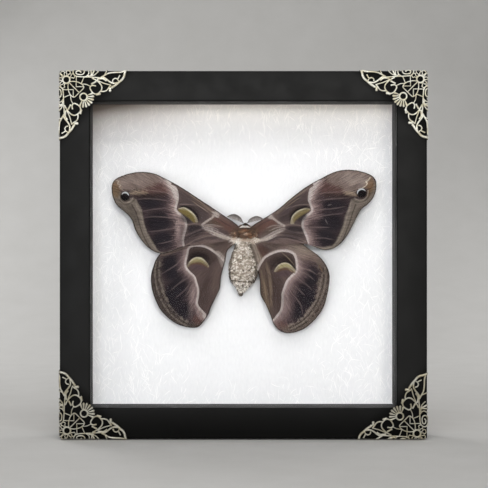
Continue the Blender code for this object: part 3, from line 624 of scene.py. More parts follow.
FOREWING_LEFT_MARKS = (
    ("ink", 4, 2, 0.9, blot(-47.1, 15.6, 6.5, 3.5, 0), blot(-43.1, 6.1, 6.5, 5, 10),
     blot(-41.1, -2.8, 5.5, 4.5, 15)),
    ("mauve_dark", 4.5, 5, 0.8, line(4.6, *FOREWING_LEFT_LINE)),
    ("mauve", 3.4, 3, 0.9, line(2.5, *FOREWING_LEFT_LINE), blot(-32.7, 2.2, 1.3, 6, 4)),
    ("rust", 4, 4, 0.65, patch(-52.1, 25.1, -47.1, 27.6, -41.1, 26.6, -37.1, 23.6, -38.1, 20.1,
     -46.1, 20.1, -51.1, 20.6)),
    ("margin", 0.9, 0.8, 1, patch(-58.1, 18.6, -54.3, 17.6, -52.9, 15.1, -51.3, 12.6, -50.7, 9.3,
     -50.1, 6.1, -48.7, 1.7, -46.6, -2.3, -44.3, -6.1, -43.1, -8.3, -40.6, -9, -36.1, -8, -31.2, -6.6,
     -30.2, -13.8, -47.1, -16.8, -72, 3.2, -73, 27.1, -67, 26.1, -63, 22.1)),
    ("apex", 3, 3.5, 1, patch(-68, 26.6, -66, 31, -52.1, 34.5, -42.1, 31, -39.1, 27.6, -44.1, 25.1,
     -47.6, 23.1, -52.1, 22.1, -58.1, 21.6, -63, 22.6, -66, 24.6)),
    ("apex_pale", 4, 3, 0.2, blot(-55.6, 27.6, 7, 2.5, 8)),
    ("ochre", 2.4, 2, 0.65, patch(-67, 26.1, -64, 26.1, -62, 23.1, -62, 20.1, -63.5, 18.1, -66, 20.6,
     -68, 23.6)),
    ("cream", 0.4, 0.6, 0.45, line(0.2, -64.5, 26.9, -62.7, 26.3, -63.2, 25.1, -61.7, 24.3, -62.4, 23.2,
     -60.7, 22.3)),
    ("sand", 1.6, 2, 0.5, leaf(1.1, -57.6, 20.3, -54.1, 20.6, -48.1, 20.3)),
    ("umber", 1.6, 2, 0.6, leaf(1.2, -58.1, 18.6, -53.1, 18.8, -46.1, 19.1, -39.1, 20.1)),
    ("vein", 0.5, 0.3, 0.34, leaf(0.3, -49.1, 22.1, -40.1, 20.8, -36.1, 19.1), leaf(0.3, -55.1, 17.2,
     -47.1, 17.7, -36.6, 16.4), leaf(0.3, -50.6, 11.5, -45.3, 12.4, -36.6, 13.3), leaf(0.3, -50.1, 8.4,
     -43.5, 8.7, -33.7, 8), leaf(0.3, -48.3, 1.2, -41.7, 1.9, -33.2, 3.2), leaf(0.3, -43.6, -4.8,
     -38.1, -3.8, -32.7, -1.7)),
    ("margin_pale", 0.5, 0.8, 0.42, line(0.35, -54.1, 15.1, -52.1, 11.1, -50.8, 6.1, -49.3, 1.4,
     -47.1, -3.1, -44.4, -7.1, -41.1, -9.5, -36.1, -8.8, -30.2, -6.3)),
    ("margin_dark", 0.5, 0.5, 0.8, line(0.3, -56.1, 14.6, -53.8, 10.1, -52.3, 4.7, -50.6, -0.3,
     -48.3, -4.8, -45.4, -8.8, -41.1, -11.3, -36.1, -10)),
    ("margin_dark", 1.6, 2, 0.5, patch(-64.5, 14.6, -58.6, 12.6, -54.1, 3.2, -50.1, -5.3, -46.6, -9.8,
     -52.1, -9.8, -59.1, 2.2, -66, 11.1)),
    ("margin_dark", 2.4, 1.5, 0.5, patch(-59.1, 15.1, -56.6, 15.1, -54.1, 10.6, -52.6, 5.1, -54.6, 5.1,
     -57.6, 11.1)),
    ("margin_dark", 0.5, 0.3, 0.6, line(0.25, -62.5, 17.1, -60.5, 15.3, -58.1, 14.9, -55.8, 16.1,
     -54.6, 17.6)),
    ("margin_pale", 0.5, 0.3, 0.7, line(0.3, -62.3, 18.6, -60.8, 16.3, -58.8, 15.6, -56.6, 16.6,
     -55.6, 18.1)),
    ("umber", 0.7, 0.3, 0.7, blot(-59.4, 18.6, 2.7, 2.7, 0)),
    ("black", 0.35, 0.1, 1, blot(-59.5, 18.6, 2.1, 2, 0)),
    ("silver", 0.3, 0.1, 0.85, leaf(0.36, -61.2, 19.6, -60.4, 20.5, -59.3, 20.7, -58.2, 20.2,
     -57.6, 19.1)),
    ("mauve", 3.4, 2.4, 0.7, leaf(2.1, -42.1, 28.1, -37.1, 24.1, -35.6, 20.6, -34.6, 16.1)),
    ("white", 1.8, 2, 0.85, leaf(1.5, -40.1, 28.6, -35.9, 24.1, -34.4, 20.6, -33.7, 16.1)),
    ("white", 1, 0.8, 0.95, line(1.1, *FOREWING_LEFT_LINE)),
    ("brown", 0.3, 0.3, 1, patch(*FOREWING_LEFT_LINE, -22.2, -12.8, 3.7, -11.8, 3.7, 14.6, -19.7, 29.5)),
    ("ink", 3.5, 2, 0.5, patch(-33.2, 21.6, -29.2, 20.1, -23.7, 15.1, -18.2, 10.1, -18.2, 6.6, -22.7, 5.1,
     -28.2, 4.2, -30.2, 9.1, -33.7, 13.1, -32.7, 17.1)),
    ("black", 3, 1, 0.45, leaf(1.6, -31.2, 13.9, -27.2, 13.1, -24.4, 10.9, -22.7, 7.6)),
    ("ink", 1.6, 1, 0.7, blot(-29.4, 7.9, 3, 2, -35), patch(-28.2, 3.9, -25.7, 4.6, -22.7, 4.4,
     -20.7, 3.4, -23.7, 2.2, -27.7, 0.7)),
    ("rust_base", 3, 3, 0.7, patch(-15.2, 8.1, -11.2, 7.6, -2.3, 2.2, -2.3, -2.8, -7.8, 0.2, -11.7, 3.2,
     -16.2, 5.1)),
    ("plum", 2, 2, 0.6, patch(-18.7, 3.7, -14.2, 3.7, -8.8, 1.7, -8.3, -0.8, -13.7, 0.7, -17.7, 2.7)),
    ("olive_dark", 1.6, 1, 0.5, patch(-19.2, 5.6, -16.2, 7.4, -12.7, 5.6, -9.8, 4.2, -16.2, 4.2)),
    ("sand", 0.4, 0.3, 0.5, leaf(0.18, -27.4, 19.9, -21.7, 15.6, -16, 11.2), leaf(0.15, -26.7, 18.1,
     -21.2, 14.2, -15.5, 10.4), leaf(0.15, -26.9, 17.1, -22.7, 14.1, -18.2, 11.1)),
    ("vein", 0.6, 0.4, 0.55, line(0.25, -32.2, 14.9, -27.2, 14.8, -23.2, 14.1, -19.7, 12.1),
     line(0.3, -20.7, 2.9, -24.1, 1.4, -29.2, -0.5), line(0.3, -15.2, -0.6, -19.7, -1.3, -24.2, -2.6,
     -29.7, -5.8), leaf(0.3, -20.2, 4.3, -15.2, 4, -10.2, 3.7), line(0.3, -28.2, 4.7, -25.2, 5.2,
     -22.7, 4.8, -20.7, 3.9)),
    ("umber", 0.6, 0.3, 0.6, leaf(0.35, -16.7, 0.2, -22.2, 0, -27.2, -1.8), leaf(0.3, -18.2, 1.4,
     -22.7, 1.2, -26.2, -0.3)),
    ("black", 0.6, 0.3, 0.8, leaf(0.5, -33.2, 13.1, -30.7, 13.8, -27.7, 13.1, -25.2, 11.1, -23.4, 8.6,
     -22.7, 6.1)),
    ("ink", 0.5, 0.3, 0.55, leaf(0.22, -29.2, 19.3, -22.7, 14.9, -16.7, 10.4), leaf(0.2, -30.7, 20.8,
     -24.2, 16.8, -17.2, 12.3), leaf(0.25, -25.7, 15.1, -21.2, 12.4, -18.2, 9.9), leaf(0.25, -15.2, 8.4,
     -11.2, 6.3, -6.3, 3.5)),
    ("ink", 3, 1.5, 0.5, patch(-32.2, 2.7, -27.2, 4.2, -22.2, 4.2, -19.2, 2.7, -22.2, -0.8, -27.2, -4.3,
     -32.2, -5.3)),
    ("ink", 1.2, 1, 0.45, leaf(0.8, -7.8, -3.1, -14.2, -2, -20.2, -2, -26.7, -4.5), leaf(0.5, -20.5, 1.9,
     -25.2, 0.3, -30.2, -2.8)),
    ("crescent", 0.5, 0.3, 0.9, patch(-33.3, 12.7, -31.2, 13.3, -28.7, 12.6, -26.2, 10.8, -24.2, 8.6,
     -23.3, 6.1, -24.5, 5.9, -25.8, 7.8, -27.8, 10.1, -30.5, 11.7)),
    ("crescent_yellow", 0.8, 0.5, 0.7, leaf(0.8, -32.2, 12.3, -29.2, 11.6, -26.7, 9.8, -24.5, 7.1)),
    ("crescent_olive", 1.2, 0.5, 1, leaf(1.3, -33.3, 12.1, -30.4, 11.1, -27.9, 9.7, -26.1, 7.9,
     -24.8, 5.6)),
    ("crescent_rim", 0.4, 0.3, 0.8, leaf(0.3, -32.7, 12.7, -30.4, 13.1, -28, 12, -25.7, 10.2, -24, 8.1)),
    ("pale", 0.7, 0.8, 0.8, line(0.5, -15.2, 9.4, -16.5, 8.1, -19, 6.4, -21.2, 4.8),
     leaf(0.55, -16.5, 11.4, -14.9, 10.4, -12.5, 9.3), leaf(0.4, -14.9, 11.9, -13.7, 10.8, -12.2, 9.9),
     leaf(0.5, -16.4, 9.7, -14.7, 9.1, -12.7, 8.4)),
    ("pale", 1.7, 1.4, 0.5, leaf(0.7, -21.2, 3.4, -18.2, 2.2, -15.7, 1, -12.7, -0.5)),
    ("cream", 1.7, 1.6, 0.5, leaf(0.8, -15.7, 0.7, -12.2, -0.8, -9.3, -1.7, -4.3, -2.6)),
    ("white", 0.5, 0.8, 0.52, leaf(0.28, -21.2, 4, -16.7, 2.7, -12.2, 0.7, -7.3, -1.8),
     leaf(0.32, -20.2, 2.7, -15.7, 1.2, -10.7, -1, -5.3, -2.5), leaf(0.3, -17.7, 0.7, -13.7, -0.8,
     -8.8, -2.5)),
    ("pale", 0.5, 0.6, 0.5, leaf(0.25, -20.2, 4.2, -16.2, 3.4, -12.7, 1.9), leaf(0.2, -20.7, 4.5,
     -15.7, 4.7, -11.7, 3.9)),
)
FOREWING_RIGHT_MARKS = (
    ("ink", 4, 2, 0.9, blot(44, 14.1, 6.5, 3.5, 0), blot(42.5, 6.1, 6, 5, -10),
     blot(40, -1.8, 5.5, 4.5, -15)),
    ("mauve_dark", 4.5, 5, 0.8, line(5.2, *FOREWING_RIGHT_LINE)),
    ("mauve", 3.4, 3, 0.8, line(2.6, *FOREWING_RIGHT_LINE)),
    ("rust", 4, 4, 0.65, patch(37.6, 25.1, 41.5, 27.6, 46.5, 26.1, 50.5, 23.1, 50, 20.1, 43, 19.6,
     37.6, 20.6)),
    ("margin", 0.9, 0.8, 1, patch(58.5, 17.1, 53.5, 17.6, 52.3, 16.1, 51.5, 13.1, 50.1, 10.1, 49.4, 7.1,
     48.5, 3.7, 46.5, -0.8, 45, -3.8, 43, -5.6, 38.6, -6.3, 33.1, -5.8, 30.6, -7.8, 30.6, -13.8,
     47.5, -13.8, 69.9, 6.1, 73.4, 28.1, 66.4, 28.1, 62.5, 22.1, 61, 18.1)),
    ("apex", 3, 3.5, 1, patch(40.5, 28.6, 47.5, 34, 61.5, 34.5, 65.4, 29.1, 63, 25.6, 60.5, 23.6,
     57.5, 22.1, 52.5, 20.6, 50, 21.1, 46.5, 23.6, 42.5, 25.1)),
    ("apex_pale", 4, 3, 0.65, blot(55, 27.1, 6.5, 2.5, -8)),
    ("ochre", 2, 1.5, 0.7, patch(62.5, 28.1, 64, 25.6, 63.5, 21.6, 61.5, 18.6, 60.5, 19.1, 61, 22.6,
     59, 23.1, 60.5, 25.1)),
    ("sand", 1.6, 1.5, 0.55, leaf(1.1, 49, 20.1, 52.5, 20.1, 56, 19.3)),
    ("cream", 0.4, 0.6, 0.75, line(0.25, 56.5, 22.6, 58.5, 23.1, 60, 24.1, 60.7, 25.4, 60, 26.1,
     61.3, 26.8, 62.2, 28.3)),
    ("umber", 1.6, 2, 0.6, leaf(1.2, 55.5, 18.3, 50.5, 18.6, 44.5, 19.1, 38.6, 20.1)),
    ("vein", 0.5, 0.3, 0.34, leaf(0.3, 34.6, 19.6, 40.5, 20.6, 49, 21.1), leaf(0.3, 33.1, 15.9,
     40.5, 17.3, 52, 18.1), leaf(0.3, 33.6, 12.5, 42.5, 12.6, 50.5, 13.9), leaf(0.3, 32.1, 7.3, 38.6, 9.1,
     49, 10.4), leaf(0.3, 31.1, 3.5, 42.5, 3.4), leaf(0.3, 32.6, -1.8, 38.6, -1.8, 44.5, -2.8)),
    ("margin_pale", 0.5, 0.8, 0.45, line(0.35, 52.7, 15.6, 51.8, 12.1, 50.5, 8.1, 49.4, 3.7, 47.3, -1.3,
     44.8, -5.1, 41.5, -6.8, 36.6, -7.1, 32.1, -6.6)),
    ("margin_dark", 0.5, 0.5, 0.8, line(0.3, 55, 14.6, 53.5, 10.6, 52.3, 6.6, 50.5, 1.7, 48.3, -3.3,
     44.8, -6.8, 40, -8.3, 34.6, -8)),
    ("margin_dark", 1.6, 2, 0.5, patch(62, 14.6, 56, 12.6, 53.5, 4.2, 49.5, -3.8, 44, -8.8, 50, -7.8,
     56.5, 1.2, 64, 11.1)),
    ("margin_dark", 0.5, 0.3, 0.6, line(0.25, 53.5, 17.1, 56, 15.9, 58.5, 16.1, 61, 17.8, 62.2, 20.6)),
    ("margin_pale", 0.5, 0.3, 0.7, line(0.3, 54.5, 17.8, 56.5, 16.9, 58.7, 17.1, 60.7, 18.8, 61.2, 21.6)),
    ("umber", 0.7, 0.3, 0.7, blot(58, 20.3, 2.8, 2.7, 0)),
    ("black", 0.35, 0.1, 1, blot(58, 20.3, 2.2, 2.1, 0)),
    ("silver", 0.3, 0.1, 0.85, leaf(0.36, 55.8, 19.8, 56.1, 21.3, 57.3, 22.3, 58.8, 22.3, 59.9, 21.4)),
    ("pale", 0.5, 0.3, 0.25, leaf(0.22, 41, 14.1, 42, 14.6, 43.3, 14.8), leaf(0.22, 40, 7.6, 40.5, 6.1,
     41.3, 5.1)),
    ("mauve", 3.4, 2.4, 0.7, leaf(2.1, 39.6, 28.6, 35.1, 24.1, 33.6, 20.6, 33.1, 16.1)),
    ("white", 1.8, 2, 0.85, leaf(1.5, 37.6, 28.6, 34.1, 24.1, 32.5, 20.6, 32.1, 16.1)),
    ("white", 1, 0.8, 0.95, line(1.1, *FOREWING_RIGHT_LINE)),
    ("brown", 0.3, 0.3, 1, patch(*FOREWING_RIGHT_LINE, 22.6, -13.8, -4.3, -11.8, -2.3, 14.6, 20.1, 29.5)),
    ("ink", 3.5, 2, 0.5, patch(31.1, 21.1, 27.6, 19.1, 22.6, 15.6, 16.6, 9.6, 17.1, 6.1, 21.6, 5.1,
     28.6, 4.2, 29.1, 8.6, 32.6, 12.6, 31.6, 17.1)),
    ("black", 3, 1, 0.45, leaf(1.6, 31.1, 13.6, 27.6, 13.4, 24.6, 11.4, 22.4, 8.1)),
    ("ink", 1.6, 1, 0.7, blot(28.6, 8.4, 2.7, 1.8, 35), patch(20.6, 3.3, 23.1, 4, 26.1, 3.9, 28.6, 3.2,
     29.1, 1.2, 24.6, 1.4, 21.6, 1.9)),
    ("rust_base", 3, 3, 0.7, patch(14.7, 7.1, 9.7, 7.1, 2.7, 2.2, 2.7, -1.8, 7.7, 0.2, 11.7, 3.2,
     15.6, 4.7)),
    ("olive_dark", 2, 1.5, 0.5, patch(18.1, 3.2, 12.7, 3.2, 8.7, 0.7, 11.7, 0.2, 16.6, 1.7)),
    ("sand", 0.4, 0.3, 0.5, leaf(0.18, 31.1, 22.6, 23.6, 17.3, 15.1, 10.4), leaf(0.18, 29.3, 18.1,
     26.1, 17.4, 21.6, 14.1, 15.6, 9.8)),
    ("vein", 0.6, 0.4, 0.55, line(0.25, 31.9, 14.7, 27.1, 14.6, 23.6, 13.7, 20.6, 12.8),
     line(0.3, 19.1, 3.2, 21.4, 1.9, 24.6, 0.8, 28.6, 0.6), line(0.3, 12.7, -1.1, 19.1, -0.6, 23.6, -1.3,
     30.1, -3.6), line(0.25, 15.1, -2, 21.6, -2.3, 29.1, -4.3), line(0.3, 28.1, 4.2, 24.1, 4.7, 20.6, 4.5,
     18.6, 3.9)),
    ("umber", 0.6, 0.3, 0.6, leaf(0.35, 17.1, 0.4, 22.6, 0, 29.1, -1.6), leaf(0.3, 17.6, -1.4, 23.1, -1.8,
     29.6, -3.8)),
    ("black", 0.6, 0.3, 0.8, leaf(0.5, 22.3, 6.1, 22.9, 8.6, 24.8, 11.1, 27.4, 12.8, 30.1, 13.7,
     32.6, 13.1)),
    ("ink", 0.5, 0.3, 0.55, leaf(0.22, 30.1, 19.4, 23.6, 15.1, 17.1, 10.6), leaf(0.2, 30.6, 21.1,
     24.1, 16.8, 17.1, 12.4), leaf(0.25, 26.1, 15.3, 21.6, 12.6, 18.1, 9.6), leaf(0.25, 14.2, 7.9,
     10.2, 6.1, 5.7, 3.2)),
    ("ink", 3, 1.5, 0.35, patch(19.6, 3.2, 24.6, 3.7, 29.1, 2.7, 30.1, -3.3, 25.6, -3.3, 19.6, -0.8)),
    ("ink", 1.2, 1, 0.5, leaf(0.9, 9.2, -4.3, 13.7, -2.5, 19.6, -1.2, 27.1, -2.3), leaf(0.5, 20.1, 2,
     25.1, 0.4, 29.6, -0.8)),
    ("crescent", 0.6, 0.3, 1, patch(22.7, 5.2, 23, 7.3, 24.3, 9.6, 26.3, 11.4, 28.6, 12.6, 30.8, 13,
     32.8, 12.2, 30.6, 11.3, 28.1, 9.9, 26.1, 8.3, 24.8, 6.7, 24.3, 5.1)),
    ("crescent_olive", 1.2, 0.5, 0.8, leaf(1.2, 24.1, 5.8, 25.1, 7.9, 27.1, 9.8, 29.6, 11.3, 32.1, 12)),
    ("crescent_rim", 0.4, 0.3, 0.8, leaf(0.3, 23.1, 6.6, 23.6, 8.6, 25.3, 10.6, 27.6, 12, 30.6, 12.7)),
    ("pale", 0.8, 0.8, 0.8, line(0.5, 13.4, 8.4, 15.6, 6.8, 17.6, 5.3, 19.6, 4.2),
     blot(12.7, 8.7, 1.7, 1.1, -25)),
    ("pale", 1.7, 1.4, 0.5, leaf(0.7, 19.9, 2.6, 17.1, 1.5, 14.2, -0.3, 10.7, -2.1)),
    ("cream", 1.7, 1.6, 0.5, leaf(0.8, 13.7, -0.8, 10.7, -2.3, 7.2, -3.5, 2.7, -4.3)),
    ("white", 0.5, 0.8, 0.52, leaf(0.28, 20.1, 3.2, 16.1, 2, 12.2, -0.1, 7.2, -2.8), leaf(0.32, 19.1, 1.7,
     15.1, 0.2, 10.7, -2, 5.2, -4), leaf(0.3, 16.1, -0.6, 12.2, -2.3, 7.7, -3.7)),
    ("pale", 0.5, 0.6, 0.5, leaf(0.25, 19.1, 3.8, 15.1, 3, 11.7, 1.4), leaf(0.2, 19.6, 4.2, 14.7, 4.4,
     10.7, 3)),
)
HINDWING_LEFT_MARKS = (
    ("ink", 4, 2, 0.95, blot(-36.6, -16.8, 4.5, 7, 10), blot(-34.6, -29.2, 5, 9.5, -22),
     blot(-29.7, -38.2, 4, 4.5, -30)),
    ("mauve_dark", 5, 2.6, 0.7, line(3.9, *HINDWING_LEFT_LINE)),
    ("mauve", 3.6, 1.4, 0.7, line(2, *HINDWING_LEFT_LINE), blot(-25.7, -29.7, 1.2, 6, -8)),
    ("taupe", 2.4, 2, 1, patch(-44.1, -11.8, -42.1, -7.8, -36.1, -5.8, -27.2, -5.8, -14.7, -1.8,
     -2.3, 2.2, 0.7, -13.8, -9.3, -17.8, -12.2, -11.8, -15.7, -8.8, -19.7, -6.3, -24.2, -5.3, -28.7, -6.8,
     -34.2, -8.8, -40.6, -10.8)),
    ("taupe_pink", 4, 3, 0.6, patch(-9.3, -2.8, -2.3, -0.8, -2.3, -13.8, -8.3, -16.8, -12.2, -9.8)),
    ("umber", 6, 2, 0.55, blot(-11.7, -7.3, 6, 4.5, 30)),
    ("margin_dusk", 0.7, 5, 1, patch(-42.1, -11.3, -41.1, -14.3, -41.6, -18.3, -41.1, -22.2, -39.9, -27.2,
     -38.6, -32.2, -36.6, -36.7, -33.9, -39.9, -30.7, -42.7, -26.7, -44.4, -21.2, -43.2, -18.2, -46.6,
     -27.2, -53.6, -44.6, -50.1, -53.1, -27.7, -49.6, -7.8)),
    ("margin_dark", 0.5, 3, 0.9, line(0.3, -43.3, -13.8, -43.8, -18.8, -43.1, -24.2, -41.6, -29.7,
     -39.4, -34.7, -36.6, -38.7, -32.9, -42.2, -28.2, -45.1, -23.2, -45.6), line(0.25, -45.1, -13.8,
     -45.9, -18.8, -45.3, -24.7, -43.6, -30.7, -41.1, -35.7, -38.1, -39.9, -33.9, -43.7, -28.7, -46.6,
     -23.7, -46.9)),
    ("margin_pale", 0.6, 2.6, 0.4, line(0.4, -42.3, -13.8, -42.7, -18.8, -42.1, -23.7, -40.6, -29,
     -38.4, -33.9, -35.6, -37.9, -32.2, -41.2, -27.7, -44.1), line(0.25, -44.1, -13.8, -44.8, -18.8,
     -44.2, -24.5, -42.6, -30.2, -40.2, -35.2, -37.3, -39.3, -33.4, -42.9, -28.4, -45.9)),
    ("vein", 0.5, 0.4, 0.36, leaf(0.3, -42.1, -20.2, -33.7, -14.8, -29.2, -8.8), leaf(0.3, -33.7, -18.5,
     -30.7, -15.5), leaf(0.35, -33.7, -25.2, -28.7, -21.7), leaf(0.35, -29.7, -31.2, -25.9, -25.7),
     leaf(0.3, -37.1, -28.2, -29.7, -21.7), leaf(0.3, -35.1, -32.2, -29.2, -27.2, -26.2, -22.2),
     leaf(0.3, -26.9, -42.7, -26.2, -38.7)),
    ("ink", 3, 1.5, 0.6, blot(-31.7, -36.7, 4, 3, 40)),
    ("rust", 2.4, 2, 0.7, blot(-22.7, -42.2, 3, 2.5, 20)),
    ("mauve", 2, 1.5, 0.7, leaf(2.2, -23.7, -37.7, -21.2, -40.2, -18.2, -43.2)),
    ("white", 0.9, 0.7, 0.95, line(1, *HINDWING_LEFT_LINE), blot(-19.5, -41.1, 1.7, 1.1, -40)),
    ("brown_hind", 0.3, 0.3, 1, patch(*HINDWING_LEFT_LINE, -6.3, -43.7, -2.3, -20.2)),
    ("pale", 1, 1.6, 0.5, leaf(1.6, -14.7, -8.3, -12.2, -10.8, -10.9, -14.1, -10.8, -17.3)),
    ("umber", 4, 2, 0.7, patch(-28.2, -13.8, -28.2, -7.8, -23.7, -6.8, -18.7, -7.8, -13.2, -11.8,
     -16.2, -14.8, -19.2, -13.8, -22.7, -11.8, -26.2, -12.8)),
    ("umber", 5, 2, 0.5, blot(-19.7, -28.7, 3, 11, -8)),
    ("brown_pale", 5, 2, 0.5, blot(-13.7, -23.7, 2.5, 11, -6)),
    ("black", 1.6, 0.8, 0.55, leaf(1.1, -28.7, -13.8, -26.7, -11.1, -24.2, -10, -21.2, -10.3,
     -18.7, -12.3, -17.2, -15.8)),
    ("black", 0.6, 0.3, 0.7, leaf(0.5, -28.4, -14.3, -26.7, -12, -24.4, -10.9, -21.7, -11.3, -19.4, -12.8,
     -17.7, -15.5)),
    ("crescent", 0.6, 0.3, 1, patch(-28.8, -16, -27.4, -13.6, -25.2, -11.9, -22.7, -11.4, -20.4, -12.3,
     -17.9, -15.5, -18.4, -16.5, -20.7, -15.1, -22.9, -14.3, -25.7, -14.7, -27.7, -16.1)),
    ("crescent_yellow", 0.9, 0.4, 0.6, leaf(0.9, -27.2, -14.8, -25.2, -13.1, -22.7, -12.7, -20.4, -13.9)),
    ("crescent_olive", 1, 0.5, 0.5, leaf(0.9, -27.7, -15.6, -25.4, -14.1, -22.7, -13.7, -20.2, -14.6,
     -18.4, -16.1)),
    ("crescent_rim", 0.4, 0.3, 0.7, leaf(0.3, -28, -14.5, -26.2, -12.6, -23.7, -11.7, -21.2, -12.4,
     -19.2, -14.1)),
    ("crescent_brown", 0.9, 0.4, 0.85, leaf(0.7, -28.4, -16.3, -26.2, -15, -23.2, -14.5, -20.4, -15.3,
     -18.2, -16.7)),
    ("plum_warm", 1.6, 0.8, 0.7, blot(-23.4, -16.5, 4, 1.4, -6)),
)
